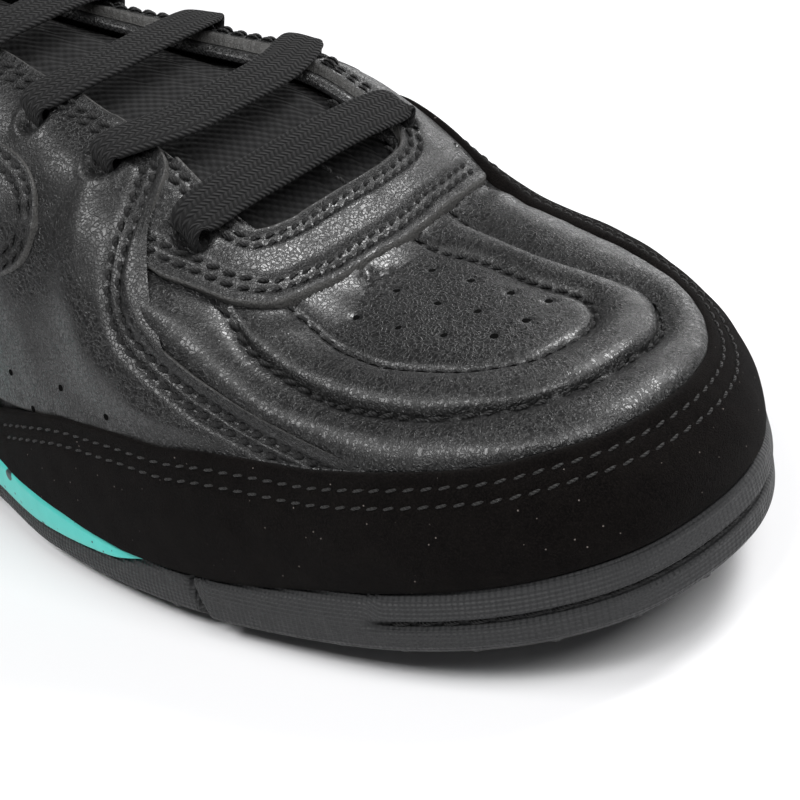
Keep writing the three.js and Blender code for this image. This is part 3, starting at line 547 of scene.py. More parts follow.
def patch(name, rows, face, slots, step=0.7, count=24, back=LAYER_BACK, radius=0.6, relief=None,
          chart=ridge_chart, ends=False, puff=0.0):
    """A layer ruled between two edges, rounded where it ends.

    A row of the table holds a place on one edge and the place across from it on the other. The outer
    face is the skin at the face's offset plus a relief, and within radius of an edge it drops as a
    quarter circle does. With ends, the first and the last row are edges too, and puff rounds the back.
    Returns the piece and its outer grid.
    """
    def measure(lines):
        return np.concatenate([skin(*chart(lines[:, k], lines[:, k + 1])) for k in (0, 2)], 1)
    line = curve(rows, step, measure)
    first = skin(*chart(line[:, 0], line[:, 1]))
    second = skin(*chart(line[:, 2], line[:, 3]))
    width = np.linalg.norm(first - second, axis=1)
    part = rounded_rows(max(np.median(width), 4 * radius), count, radius)
    a = line[:, None, 0] + (line[:, None, 2] - line[:, None, 0]) * part
    b = line[:, None, 1] + (line[:, None, 3] - line[:, None, 1]) * part
    station, v = chart(a, b)
    base = skin(station, v, face)
    middle = base[:, len(part) // 2]
    along = run_length(middle)
    inset = np.minimum(part[None], 1 - part[None]) * width[:, None]
    if ends:
        inset = np.minimum(inset, np.minimum(along, along[-1] - along)[:, None])
    reach = np.clip(1 - inset / radius, 0, 1)
    drop = radius * (1 - np.sqrt(1 - reach ** 2))
    height = relief(station, v, base) if relief else 0.0
    outer = skin(station, v, face + height - drop)
    rise = np.clip(1 - inset / max(puff, 0.01), 0, 1)
    inner = skin(station, v, back + puff * (1 - np.sqrt(1 - rise ** 2)))
    n, m = outer.shape[:2]
    i, j = n // 2, m // 2
    normal = np.cross(outer[i + 1, j] - outer[i, j], outer[i, j + 1] - outer[i, j])
    if normal @ outward(station[i, j], v[i, j]) < 0:
        outer, inner, station, v, inset = (grid[::-1] for grid in (outer, inner, station, v, inset))
    made = {"fold": np.exp(-inset / 3.5), "cut": np.exp(-(inset / 0.42) ** 4)}
    return shell(name, outer, inner, surface_uv(outer), slots, made), outer


def thread_line(rows, face, relief=None, chart=ridge_chart):
    """Points and outward directions of a stitch row that lies on a patch's face."""
    if len(rows) < 60:
        rows = curve(rows, 0.8, lambda r: skin(*chart(r[:, 0], r[:, 1])))
    station, v = chart(rows[:, 0], rows[:, 1])
    base = skin(station, v, face)
    height = relief(station, v, base) if relief else 0.0
    return skin(station, v, face + height), outward(station, v)


def drop_on(grid, plan):
    """Surface points over plan places: a plane through the nearest grid points gives each height."""
    flat = grid.reshape(-1, 3)
    places = []
    for start in range(0, len(plan), 60):
        part = plan[start:start + 60]
        squares = ((flat[None, :, :2] - part[:, None]) ** 2).sum(2)
        near = flat[np.argpartition(squares, 24, axis=1)[:, :24]]
        offset = near - np.concatenate([part, np.zeros((len(part), 1))], 1)[:, None]
        left = np.concatenate([offset[..., :2], np.ones((len(part), 24, 1))], 2)
        square = left.transpose(0, 2, 1) @ left + np.eye(3) * 1e-6
        plane = np.linalg.solve(square, left.transpose(0, 2, 1) @ offset[..., 2:])
        slope = plane[:, :2, 0]
        point = np.concatenate([part, plane[:, 2]], 1)
        normal = np.concatenate([-slope, np.ones((len(part), 1))], 1)
        places.append((point, unit(normal)))
    points = np.concatenate([point for point, _ in places])
    normals = np.concatenate([normal for _, normal in places])
    return points, normals


# Node helpers

def node(tree, kind, sets=None, **inputs):
    """A shader node. Each input is a number, a vector or another node's socket."""
    made = tree.nodes.new(kind)
    for key, value in (sets or {}).items():
        setattr(made, key, value)
    for key, value in inputs.items():
        numbered = key[0] == "i" and key[1:].isdigit()
        socket = made.inputs[int(key[1:]) if numbered else key.replace("_", " ")]
        if isinstance(value, bpy.types.NodeSocket):
            tree.links.new(value, socket)
        else:
            socket.default_value = value
    return made


def calc(tree, operation, a, b=0.0, c=0.0):
    return node(tree, "ShaderNodeMath", {"operation": operation}, i0=a, i1=b, i2=c).outputs[0]


def remap(tree, value, low, high, to_low=0.0, to_high=1.0):
    made = node(tree, "ShaderNodeMapRange", {"interpolation_type": "SMOOTHSTEP"}, i0=value, i1=low, i2=high,
                i3=to_low, i4=to_high)
    return made.outputs[0]


def blend(tree, factor, a, b):
    made = node(tree, "ShaderNodeMix", {"data_type": "RGBA"})
    for index, value in ((0, factor), (6, a), (7, b)):
        if isinstance(value, bpy.types.NodeSocket):
            tree.links.new(value, made.inputs[index])
        else:
            made.inputs[index].default_value = value if index == 0 else (*value, 1)
    return made.outputs[2]


def feed(shader, name, socket):
    shader.id_data.links.new(socket, shader.inputs[name])


def pushed(tree, push, amount, place):
    """Coordinates pushed about by a noise's colour, by an amount in millimetres."""
    sets = {"operation": "MULTIPLY_ADD"}
    return node(tree, "ShaderNodeVectorMath", sets, i0=push, i1=(amount,) * 3, i2=place).outputs[0]


def in_mm(tree, kind="Object"):
    """Object or UV coordinates in millimetres."""
    place = node(tree, "ShaderNodeTexCoord").outputs[kind]
    return node(tree, "ShaderNodeVectorMath", {"operation": "SCALE"}, i0=place, i3=1000.0).outputs[0]


def noise(tree, place, scale, detail=2.0, roughness=0.5):
    return node(tree, "ShaderNodeTexNoise", Vector=place, Scale=scale, Detail=detail, Roughness=roughness)


def scaled(tree, place, factors):
    return node(tree, "ShaderNodeVectorMath", {"operation": "MULTIPLY"}, i0=place, i1=factors).outputs[0]


def bump(tree, height, distance_mm, strength=1.0, under=None):
    inputs = {"Height": height, "Distance": distance_mm * MM, "Strength": strength}
    if under is not None:
        inputs["Normal"] = under
    return node(tree, "ShaderNodeBump", **inputs).outputs[0]


def material(name, color, roughness, **sockets):
    """A principled material whose even values sit on the shader's own sockets."""
    made = bpy.data.materials.new(name)
    made.use_nodes = True
    tree = made.node_tree
    shader = tree.nodes["Principled BSDF"]
    shader.inputs["Base Color"].default_value = (*color, 1)
    shader.inputs["Roughness"].default_value = roughness
    for key, value in sockets.items():
        shader.inputs[key.replace("_", " ")].default_value = value
    return made, tree, shader


def leather(name, color, roughness, cell, folds, coat):
    """Grained leather: cracked cells under a millimetre, fine pores, and wrinkles that run in from seams."""
    made, tree, shader = material(name, color, roughness, Coat_Weight=coat, Coat_Roughness=0.35)
    place = in_mm(tree)
    warp = noise(tree, place, 0.45, 3).outputs["Color"]
    bent = pushed(tree, warp, 2.6, place)
    edges = node(tree, "ShaderNodeTexVoronoi", {"feature": "DISTANCE_TO_EDGE"}, Vector=bent, Scale=cell)
    grain = remap(tree, edges.outputs[0], 0.0, 0.16)
    fine = noise(tree, bent, 4.2, 3, 0.6).outputs[0]
    broad = noise(tree, place, 0.16, 2).outputs[0]
    cloth = scaled(tree, in_mm(tree, "UV"), (0.95, 0.19, 1.0))
    wave = noise(tree, pushed(tree, warp, 0.9, cloth), 1.0, 2.0, 0.5).outputs[0]
    groove = remap(tree, calc(tree, "ABSOLUTE", calc(tree, "SUBTRACT", wave, 0.5)), 0.0, 0.06)
    mask = node(tree, "ShaderNodeAttribute", {"attribute_name": "fold"}).outputs["Fac"]
    pleat = calc(tree, "MULTIPLY", calc(tree, "ADD", groove, wave), mask)
    height = calc(tree, "MULTIPLY_ADD", fine, 0.16, grain)
    rough = bump(tree, height, 0.08, 1.0)
    deep = bump(tree, pleat, 0.28, folds, rough)
    feed(shader, "Normal", bump(tree, broad, 0.7, 0.35, deep))
    dark = tuple(0.45 * value for value in color)
    light = tuple(1.25 * value for value in color)
    tone = blend(tree, broad, dark, light)
    cut = node(tree, "ShaderNodeAttribute", {"attribute_name": "cut"}).outputs["Fac"]
    # Base colour darkened along the grain's cracks, where the bump is lowest: painted shade in the cracks.
    hide = blend(tree, grain, dark, tone)
    feed(shader, "Base Color", blend(tree, cut, hide, (0.05, 0.049, 0.047)))
    gloss = remap(tree, fine, 0.3, 0.75, roughness - 0.06, roughness + 0.12)
    crack = calc(tree, "MULTIPLY", calc(tree, "SUBTRACT", 1.0, groove), mask)
    worn = calc(tree, "MULTIPLY_ADD", calc(tree, "SUBTRACT", 1.0, grain), 0.22, gloss)
    dull = calc(tree, "MULTIPLY_ADD", crack, 0.35, calc(tree, "MULTIPLY_ADD", cut, 0.3, worn))
    feed(shader, "Roughness", calc(tree, "MINIMUM", dull, 1.0))
    return made


def suede():
    """Napped leather: matt, with a fine uneven pile, cloudy strokes and a few bright fibre ends."""
    color = (0.0075, 0.0062, 0.0058)
    made, tree, shader = material("suede", color, 1.0, Sheen_Weight=0.02, Sheen_Roughness=0.45,
                                  Specular_IOR_Level=0.03)
    place = in_mm(tree)
    pile = noise(tree, place, 3.4, 4, 0.7).outputs[0]
    clouds = noise(tree, place, 0.22, 3, 0.6).outputs[0]
    specks = node(tree, "ShaderNodeTexVoronoi", Vector=place, Scale=0.42).outputs[0]
    fibre = remap(tree, specks, 0.045, 0.065, 1.0, 0.0)
    tone = blend(tree, remap(tree, clouds, 0.3, 0.7), (0.0018, 0.0015, 0.0015), (0.0036, 0.003, 0.0028))
    nap = blend(tree, remap(tree, pile, 0.38, 0.75), tone, (0.0085, 0.0071, 0.0066))
    feed(shader, "Base Color", blend(tree, fibre, nap, (0.16, 0.14, 0.13)))
    soft = bump(tree, pile, 0.35, 0.9)
    feed(shader, "Normal", bump(tree, clouds, 1.0, 0.3, soft))
    return made


def rubber():
    """Moulded rubber: small diamonds pressed in by two crossed waves over the side's own coordinates."""
    made, tree, shader = material("rubber", (0.024, 0.0245, 0.0255), 0.58, Specular_IOR_Level=0.4)
    split = node(tree, "ShaderNodeSeparateXYZ", Vector=in_mm(tree, "UV"))
    u, v = split.outputs[0], split.outputs[1]
    rising = calc(tree, "SINE", calc(tree, "MULTIPLY", calc(tree, "MULTIPLY_ADD", v, 1.35, u), 3.1))
    falling = calc(tree, "SINE", calc(tree, "MULTIPLY", calc(tree, "MULTIPLY_ADD", v, -1.35, u), 3.1))
    weave = calc(tree, "MULTIPLY", rising, falling)
    place = in_mm(tree)
    dust = noise(tree, place, 0.5, 4, 0.65).outputs[0]
    fine = noise(tree, place, 5.0, 2).outputs[0]
    first = bump(tree, weave, 0.22, 0.9)
    feed(shader, "Normal", bump(tree, fine, 0.06, 0.5, first))
    feed(shader, "Base Color", blend(tree, dust, (0.0135, 0.0138, 0.0145), (0.0225, 0.023, 0.024)))
    feed(shader, "Roughness", remap(tree, dust, 0.3, 0.7, 0.52, 0.7))
    return made


def foam():
    """Turquoise foam with dark specks of two sizes."""
    color = (0.085, 0.62, 0.56)
    made, tree, shader = material("foam", color, 0.45, Specular_IOR_Level=0.4)
    place = in_mm(tree)
    large = node(tree, "ShaderNodeTexVoronoi", Vector=scaled(tree, place, (0.8, 1.0, 1.0)), Scale=0.17)
    small = node(tree, "ShaderNodeTexVoronoi", Vector=place, Scale=0.42)
    spots = calc(tree, "MAXIMUM", remap(tree, large.outputs[0], 0.19, 0.22, 1.0, 0.0),
                 remap(tree, small.outputs[0], 0.09, 0.12, 1.0, 0.0))
    shade = noise(tree, place, 0.3, 3).outputs[0]
    tone = blend(tree, shade, (0.055, 0.46, 0.41), (0.08, 0.56, 0.5))
    feed(shader, "Base Color", blend(tree, spots, tone, (0.012, 0.03, 0.032)))
    feed(shader, "Normal", bump(tree, noise(tree, place, 2.0, 3).outputs[0], 0.08, 0.4))
    return made


def lace_cloth():
    """Flat braid: slanted ribs that turn about at each column, over the lace's own length and width."""
    made, tree, shader = material("lace_cloth", (0.007, 0.007, 0.0075), 0.85, Sheen_Weight=0.03,
                                  Specular_IOR_Level=0.22)
    split = node(tree, "ShaderNodeSeparateXYZ", Vector=in_mm(tree, "UV"))
    u, v = split.outputs[0], split.outputs[1]
    column = calc(tree, "PINGPONG", v, 1.05)
    ribs = calc(tree, "SINE", calc(tree, "MULTIPLY", calc(tree, "MULTIPLY_ADD", column, 0.85, u), 5.6))
    crown = calc(tree, "ABSOLUTE", calc(tree, "SINE", calc(tree, "MULTIPLY", v, math.pi / 1.05)))
    rib_height = calc(tree, "MULTIPLY_ADD", ribs, 0.5, 0.5)
    yarn = calc(tree, "MULTIPLY", rib_height, calc(tree, "MULTIPLY_ADD", crown, 0.7, 0.3))
    fuzz = noise(tree, in_mm(tree), 5.0, 3).outputs[0]
    first = bump(tree, yarn, 0.45, 1.0)
    feed(shader, "Normal", bump(tree, fuzz, 0.12, 0.5, first))
    # Base colour darker between the ribs and at the edges of each column, where the relief is low: painted
    # shade in the braid's hollows.
    feed(shader, "Base Color", blend(tree, yarn, (0.0018, 0.0018, 0.002), (0.0095, 0.0095, 0.01)))
    return made


def knit(name, color, size):
    """Knitted cloth: rows of small loops from crossed waves over the piece's own coordinates."""
    made, tree, shader = material(name, color, 0.9, Sheen_Weight=0.06, Specular_IOR_Level=0.25)
    split = node(tree, "ShaderNodeSeparateXYZ", Vector=in_mm(tree, "UV"))
    turn = 2 * math.pi / size
    rows = calc(tree, "SINE", calc(tree, "MULTIPLY", split.outputs[0], turn))
    loops = calc(tree, "SINE", calc(tree, "MULTIPLY", split.outputs[1], turn))
    cells = calc(tree, "MULTIPLY", rows, loops)
    fuzz = noise(tree, in_mm(tree), 3.0, 3).outputs[0]
    feed(shader, "Normal", bump(tree, fuzz, 0.1, 0.5, bump(tree, cells, 0.25, 0.7)))
    # Base colour darker in the low places between the loops: painted shade in the knit's hollows.
    dark = tuple(0.35 * value for value in color)
    feed(shader, "Base Color", blend(tree, remap(tree, cells, -0.5, 0.5), dark, color))
    return made


def thread_cloth(name, color):
    """Twisted thread: slanted ribs along each stitch."""
    made, tree, shader = material(name, color, 0.7, Sheen_Weight=0.04, Specular_IOR_Level=0.35)
    split = node(tree, "ShaderNodeSeparateXYZ", Vector=in_mm(tree, "UV"))
    slant = calc(tree, "MULTIPLY_ADD", split.outputs[1], 1.2, split.outputs[0])
    ribs = calc(tree, "SINE", calc(tree, "MULTIPLY", slant, 9.0))
    feed(shader, "Normal", bump(tree, ribs, 0.12, 0.8))
    # Base colour darker in the grooves of the twist: painted shade in the grooves.
    dark = tuple(0.4 * value for value in color)
    feed(shader, "Base Color", blend(tree, calc(tree, "MULTIPLY_ADD", ribs, 0.5, 0.5), dark, color))
    return made


# Near-black material of the hole discs: painted shade that stands for the dark inside of a hole.
def painted_hole_shade():
    return material("hole_painted_shade", (0.0015, 0.0015, 0.0015), 1.0, Specular_IOR_Level=0.05)[0]


BLACK_HIDE = (0.0055, 0.0055, 0.0058)
LEATHER = leather("leather", BLACK_HIDE, 0.31, cell=1.3, folds=0.55, coat=0.12)
VAMP_LEATHER = leather("vamp_leather", BLACK_HIDE, 0.29, cell=1.25, folds=1.0, coat=0.24)
SUEDE = suede()
RUBBER = rubber()
FOAM = foam()
LACE_CLOTH = lace_cloth()
TONGUE_CLOTH = knit("tongue_cloth", (0.01, 0.01, 0.0105), 2.1)
LINING_CLOTH = knit("lining_cloth", (0.02, 0.02, 0.021), 0.9)
DARK_THREAD = thread_cloth("dark_thread", (0.004, 0.004, 0.0043))
GREY_THREAD = thread_cloth("grey_thread", (0.016, 0.0155, 0.015))
HOLE_SHADE = painted_hole_shade()


# Edges that several pieces share

def cap_edge(station, side):
    return hermite(CAP_EDGE, 1 if side > 0 else 2, station)


def counter_height(station):
    turn = np.cos(math.pi * np.minimum(station / COUNTER_END, 1))
    return NUB_HEIGHT + RIM_HEIGHT + INSTEP_HEIGHT * (COUNTER_TOP + 0.12 * turn - 0.12)


def top_edge(station, side):
    """Way up of the collar, then of the throat's side and rounded front, and 1 on the closed vamp."""
    station = np.asarray(station, float)
    collar = 1 - np.abs(v_at(station, side, height_of(hermite(COLLAR_HEIGHTS, 1, station))))
    throat = hermite(THROAT_EDGE, 1 if side > 0 else 2, station)
    t = np.clip((station - THROAT_ROUND) / (THROAT_FRONT - THROAT_ROUND), 0, 1)
    front = throat + (1 - throat) * (1 - np.sqrt(1 - t ** (8 if side > 0 else 3)))
    edge = np.where(station <= THROAT_EDGE[0][0], collar, np.where(station <= THROAT_ROUND, throat, front))
    return np.where(station >= THROAT_FRONT, 1.0, edge)


def station_over(x, v):
    """Station at which the skin's place v lies over x, by Newton steps."""
    station = 8.3 + 0 * (x + v)
    for _ in range(8):
        station = station + np.clip((x - skin(station, v)[..., 0]) / 19, -2, 2)
    return station


LACE_X = FIRST_EYELET_X - EYELET_PITCH * np.arange(EYELET_COUNT)
RAW_EDGE = curve([row[:2] for row in QUARTER_FRONT[2:]], 0.3, on_skin)
BAND_FRONT = curve([row[:2] for row in BAND[:-3]], 0.5, on_skin)
BAND_THROAT = curve([row[2:] for row in BAND], 0.5, on_skin)
CAP_LINE = np.array([[t, cap_edge(t if t <= LAST else 2 * LAST - t, -1 if t <= LAST else 1)]
                     for t in np.linspace(CAP_START, 2 * LAST - CAP_START, 961)])
CAP_PATH = skin(*rim_chart(CAP_LINE[:, 0], CAP_LINE[:, 1]))


def eyelet_pits(points, sides):
    """A round dent at each eyelet, with a low raised rim."""
    sink = np.zeros(points.shape[:-1])
    for x in LACE_X:
        for side in sides:
            centre = skin(station_over(x, EYELET_V[side]), EYELET_V[side])
            away = np.linalg.norm(points - centre, axis=-1)
            sink += -1.6 * (1 - fade(EYELET_RADIUS - 0.8, EYELET_RADIUS + 0.5, away))
            sink += 0.25 * np.exp(-((away - EYELET_RADIUS - 1.2) / 0.7) ** 2)
    return sink


# Vamp: the padded front, with two stitched loops and small holes

VAMP_CORNER = [8.7, -0.18]
# Height of the padding inside the inner loop, between the loops and outside both
PANEL_PADDING, RING_PADDING, BORDER_PADDING = 0.75, 2.1, 2.7


def vamp_grid():
    """Stations from the raw edge to the toe, and places across each between the cap's two sides.

    Behind the corner the rows stop short of the throat, so their last places all fall on one point.
    """
    stations = np.concatenate([np.linspace(8.02, 9.1, 56), np.linspace(9.1, LAST, 228)[1:]])
    low = -(1 - cap_edge(stations, -1) + 0.07)
    high = 1 - cap_edge(stations, 1) + 0.07
    part = np.linspace(0, 1, 156)
    v = even_v(stations[:, None], low[:, None], high[:, None], part[None])
    station = np.broadcast_to(stations[:, None], v.shape)
    return station, np.where(station < VAMP_CORNER[0], np.minimum(v, VAMP_CORNER[1]), v)


def pillow(near, far):
    """Round padding between two lines: 0 on both and 1 midway."""
    across = (near - far) / (near + far + 1e-6)
    return np.clip(1 - np.abs(across) ** 2.2, 0, 1) ** 0.8


def ridge_end_fill(points):
    """Height that rounds the valley where the form's ridge ends, just in front of the throat.

    The form's height over the plan, with a median in place of stray values, is averaged with a Gaussian
    weight, and the gain fades out round the place.
    """
    x, y = np.arange(150.0, 214.0), np.arange(-36.0, 32.0)
    sheet = skin(np.linspace(7.4, 12.2, 170)[:, None], np.linspace(-0.78, 0.78, 170)[None], VAMP_FACE)
    plan = np.stack(np.meshgrid(x, y, indexing="ij"), -1)
    level = drop_on(sheet, plan.reshape(-1, 2))[0][:, 2].reshape(len(x), len(y))
    wide = np.pad(level, 3, mode="edge")
    windows = [wide[a:a + len(x), b:b + len(y)] for a in range(7) for b in range(7)]
    middle = np.median(windows, axis=0)
    level = np.where(np.abs(level - middle) > 0.9, middle, level)
    weight = np.exp(-(np.arange(-9, 10) / 4.4) ** 2)
    weight /= weight.sum()

    def average(row):
        return np.convolve(np.pad(row, 9, mode="edge"), weight, "valid")
    soft = np.apply_along_axis(average, 1, np.apply_along_axis(average, 0, level))
    gain = (soft - level) * (1 - fade(10, 22, np.hypot(plan[..., 0] - 182, plan[..., 1] + 1)))
    i = np.clip(points[..., 0] - x[0], 0, len(x) - 1.001)
    j = np.clip(points[..., 1] - y[0], 0, len(y) - 1.001)
    a, b = i.astype(int), j.astype(int)
    near = gain[a, b] * (1 - j + b) + gain[a, b + 1] * (j - b)
    far = gain[a + 1, b] * (1 - j + b) + gain[a + 1, b + 1] * (j - b)
    fill = near + (far - near) * (i - a)
    return fill[..., None] * np.array([0.0, 0.0, 1.0])


def vamp():
    station, v = vamp_grid()
    base = skin(station, v, VAMP_FACE)
    fill = ridge_end_fill(base)
    base = base + fill
    inner = curve(INNER_LOOP, 0.5)
    outer = curve(OUTER_LOOP, 0.5)
    inner_path, _ = drop_on(base, inner)
    outer_path, _ = drop_on(base, outer)
    d_inner, _ = distance(base, inner_path)
    d_outer, along = distance(base, outer_path)
    plain = skin(station, v)
    d_cap, _ = distance(plain, CAP_PATH)
    d_raw, _ = distance(plain, on_skin(RAW_EDGE))
    d_band, _ = distance(plain, on_skin(BAND_FRONT))
    in_inner = inside(base, inner)
    in_outer = inside(base, outer)
    edge = np.where(v < 0, cap_edge(station, -1), cap_edge(station, 1))
    hem = np.vstack([RAW_EDGE, [[10.1, -1.2], [6, -1.2], [6, -0.1]]])
    covered = (1 - np.abs(v) < edge) | inside(np.stack([station, v], -1), hem)
    d_edge = np.minimum(d_cap, d_raw)
    panel = PANEL_PADDING * (1 - np.exp(-d_inner / 2.0))
    ring = RING_PADDING * pillow(d_inner, d_outer)
    border = BORDER_PADDING * pillow(d_outer, np.where(covered, 0, d_edge) + 2.0)
    height = np.where(in_inner, panel, np.where(in_outer, ring, border))
    height = np.where(covered, height * (1 - fade(0, 2.0, d_edge)) - 0.5 * fade(0, 2.0, d_edge), height)
    height *= np.where(in_inner, 1.0, 0.3 + 0.7 * fade(0.0, 7.0, d_band))
    front = np.interp(v, BAND_FRONT[:, 1], BAND_FRONT[:, 0])
    height = np.where((station < front) & (v > -0.38) & (v < 0.42), -0.4, height)
    nearest = np.minimum(d_inner, d_outer)
    height -= 0.55 * np.exp(-(nearest / 0.75) ** 2) + 0.5
    height += ripple(base, 5.0, 0.16) * fade(0.5, 3.0, nearest)
    for place in VAMP_HOLES:
        away = np.hypot(base[..., 0] - place[0], base[..., 1] - place[1])
        height -= 0.35 * np.exp(-(away / 1.0) ** 2)
    grid = skin(station, v, VAMP_FACE + height) + fill
    uv = np.stack([along, np.where(in_outer, -d_outer, d_outer)], -1)
    seams = np.minimum(nearest, np.minimum(d_cap, d_raw))
    folded = np.clip(1.1 * np.exp(-seams / 5.0) - 0.08, 0, 1) * fade(0, 9, d_band)
    marks = {"fold": folded * np.where(in_inner, 0.25 * np.exp(-d_inner / 1.5), 1.0)}
    under = skin(station, v, VAMP_FACE - 1.1) + np.minimum(fill, 0)
    piece = shell("vamp_padded", grid, under, uv, [VAMP_LEATHER], marks, joined_end=True)
    own(piece, "leather", "upper")
    return grid, inner, outer


def vamp_details(grid, inner, outer):
    lines = [drop_on(grid, inner), drop_on(grid, outer)]
    stitches("vamp_thread", lines, DARK_THREAD, pitch=2.9, length=2.3, width=0.75, height=0.4)
    points, normals = drop_on(grid, VAMP_HOLES)
    holes("vamp_holes", points, normals, HOLE_RADIUS)


def holes(name, points, normals, radius):
    """Small dishes at the surface, each a disc whose middle is pressed in, coloured near-black as painted
    shade inside a hole.
    """
    ring = np.linspace(0, 2 * math.pi, 17)
    reach = np.array([1.0, 0.97, 0.0]) * radius
    sink = np.array([-0.35, 0.06, 0.05])
    a = unit(np.cross(normals, [0.0, 1.0, 0.3]))
    b = np.cross(normals, a)
    around = a[:, None] * np.cos(ring)[None, :, None] + b[:, None] * np.sin(ring)[None, :, None]
    grid = points[:, None, None] + around[:, None] * reach[None, :, None, None]
    grid = grid + normals[:, None, None] * sink[None, :, None, None]
    count = len(points)
    bottom = points[:, None, None] + normals[:, None, None] * sink[0] + 0 * around[:, None]
    grid = np.concatenate([bottom, grid], 1)
    n, m = grid.shape[1:3]
    faces = repeated(grid_faces(n, m, flip=True), count, n * m)
    flat = grid.reshape(-1, 3)
    own(make_mesh(name, flat, faces, flat[:, :2], [HOLE_SHADE]), "leather")


# Upper body: hollow, with its lining and the padded collar

def body_wall(station, up):
    along = np.clip((4.6 - station) / 0.8, 0, 1)
    high = np.clip((up - 0.16) / 0.16, 0, 1)
    return WALL_THICKNESS + COLLAR_PADDING * along * high * high * (3 - 2 * high)


def upper_body():
    """Two half shells joined along the closed vamp. Their open top is a half round between the two faces."""
    round_front = THROAT_FRONT - 0.4 * np.linspace(1, 0, 16)[1:] ** 2.5
    closed_part = np.linspace(THROAT_FRONT, LAST, 70)[1:]
    stations = np.concatenate([np.linspace(0, 8.2, 110), round_front, closed_part])
    rows = np.linspace(0, 1, 26)
    bend = np.linspace(0, math.pi, 9)[1:-1, None]
    points, faces, slots, uvs = [], [], [], []
    count = 0
    for side in (-1, 1):
        top = top_edge(stations, side)
        up = top[:, None] * rows
        v = side * (1 - up)
        station = np.broadcast_to(stations[:, None], v.shape)
        outer = skin(station, v, BODY_FACE)
        inner = skin(station, v, WALL_FACE - body_wall(station, up))
        half = (outer[:, -1] - inner[:, -1]) / 2
        middle = (outer[:, -1] + inner[:, -1]) / 2
        climb = outer[:, -1] - outer[:, -2]
        climb /= np.linalg.norm(climb, axis=1, keepdims=True) + 1e-9
        open_top = (top < 1)[:, None]
        climb = np.where(open_top, climb, 0) * np.linalg.norm(half, axis=1, keepdims=True) * 0.9
        arc = middle[:, None] + half[:, None] * np.cos(bend) + climb[:, None] * np.sin(bend)
        ring = np.concatenate([outer, arc, inner[:, ::-1]], 1)
        n, m = ring.shape[:2]
        k = np.arange(m)
        i, j = np.meshgrid(np.arange(n - 1), k, indexing="ij")
        after = (j + 1) % m
        quads = np.stack([i * m + j, (i + 1) * m + j, (i + 1) * m + after, i * m + after], -1)
        closed = (top[:-1] >= 1) & (top[1:] >= 1)
        rounding = (k >= len(rows) - 1) & (k < m - len(rows))
        keep = ~(closed[:, None] & rounding[None])
        lining = np.broadcast_to((k >= len(rows) + 3)[None], keep.shape)
        quads, lining = quads[keep], lining[keep]
        if side > 0:
            quads = quads[:, ::-1]
        points.append(ring.reshape(-1, 3))
        faces.append(quads + count)
        slots.append(lining.astype(int))
        uvs.append(surface_uv(ring).reshape(-1, 2))
        count += n * m
    piece = make_mesh("upper_body", np.concatenate(points), np.concatenate(faces), np.concatenate(uvs),
                      [LEATHER, LINING_CLOTH], np.concatenate(slots), {"fold": np.full(count, 0.2)})
    own(piece, "leather", "upper")


# Quarters: the leather sides with their raw front edge and the eyelets

def low_edge(station, side):
    """Lower edge of a quarter: above the heel counter, then just under the edge of the cap."""
    counter = 1 - np.abs(v_at(station, side, counter_height(station))) - 0.06
    cap = np.where(station < CAP_START, 0.0, cap_edge(station, side) - 0.03)
    return np.maximum(np.where(station < COUNTER_END, counter, 0.0), cap)


def quarter_rows(side, end):
    behind, beside = np.arange(TAB_END - 0.05, 5.0, 0.35), [5.1, 5.25, 5.4, 5.6, 5.8]
    stations = np.concatenate([behind, beside, np.arange(6.1, end, 0.3)])
    top = top_edge(stations, side) - 0.012
    low = low_edge(stations, side)
    return [[s, side * (1 - t), s, side * (1 - b)] for s, t, b in zip(stations, top, low)]


# Stitch rows behind the raw edge, in millimetres from it
RAW_SEAMS = (-2.6, -4.6)


def quarter_relief(side):
    """Unevenness and eyelets, and on the inner side the raised edge, its seams and the roll behind them."""
    raw = on_skin(RAW_EDGE)
    seams = [on_skin(shifted(RAW_EDGE, by)) for by in RAW_SEAMS]

    def relief(station, v, base):
        height = ripple(base, 7.0, 0.22) + eyelet_pits(base, (side,))
        if side > 0:
            return height
        d_raw, _ = distance(base, raw)
        above = 1 - np.abs(v) - cap_edge(station, -1)
        clear = np.where(station < CAP_START, 1.0, fade(0.0, 0.07, above))
        roll = 1.1 * np.exp(-((d_raw - 11) / 5.5) ** 2) - 0.5 * np.exp(-((d_raw - 22) / 5) ** 2)
        height += clear * (0.5 * np.exp(-(d_raw / 1.4) ** 2) + roll)
        return height - dents(base, seams, 0.75, 0.85)
    return relief


def clear_of_cap(rows):
    """Leaves out the rows that lie under the cap."""
    edge = np.where(rows[:, 1] < 0, cap_edge(rows[:, 0], -1), cap_edge(rows[:, 0], 1))
    return rows[(1 - np.abs(rows[:, 1]) > edge + 0.012) | (rows[:, 0] < CAP_START)]


def quarters():
    relief = quarter_relief(-1)
    rows = quarter_rows(-1, 6.5) + QUARTER_FRONT
    piece, grid = patch("quarter_inner", rows, QUARTER_FACE, [LEATHER], step=0.82, count=54, radius=0.5,
                        relief=relief)
    own(piece, "leather", "quarter_medial")
    relief_out = quarter_relief(1)
    piece, _ = patch("quarter_outer", quarter_rows(1, 8.15), LEATHER_FACE, [LEATHER], step=1.1, count=42,
                     radius=0.5, relief=relief_out)
    own(piece, "leather", "quarter_lateral")
    lines = [thread_line(clear_of_cap(shifted(RAW_EDGE, by)), QUARTER_FACE, relief) for by in RAW_SEAMS]
    for side, until in ((-1, 7.7), (1, 8.1)):
        stations = np.arange(5.3, until, 0.1)
        edge = np.stack([stations, side * (1 - top_edge(stations, side) + 0.012)], -1)
        edge = curve(edge, 0.8, on_skin)
        for by in (2.2, 4.2):
            row = shifted(edge, by * side)
            lines.append(thread_line(row, LEATHER_FACE + 0.1, relief if side < 0 else relief_out))
    stitches("quarter_thread", lines, DARK_THREAD, pitch=2.8, length=2.5, width=0.95, height=0.5, turn=20)
    pinholes(grid)


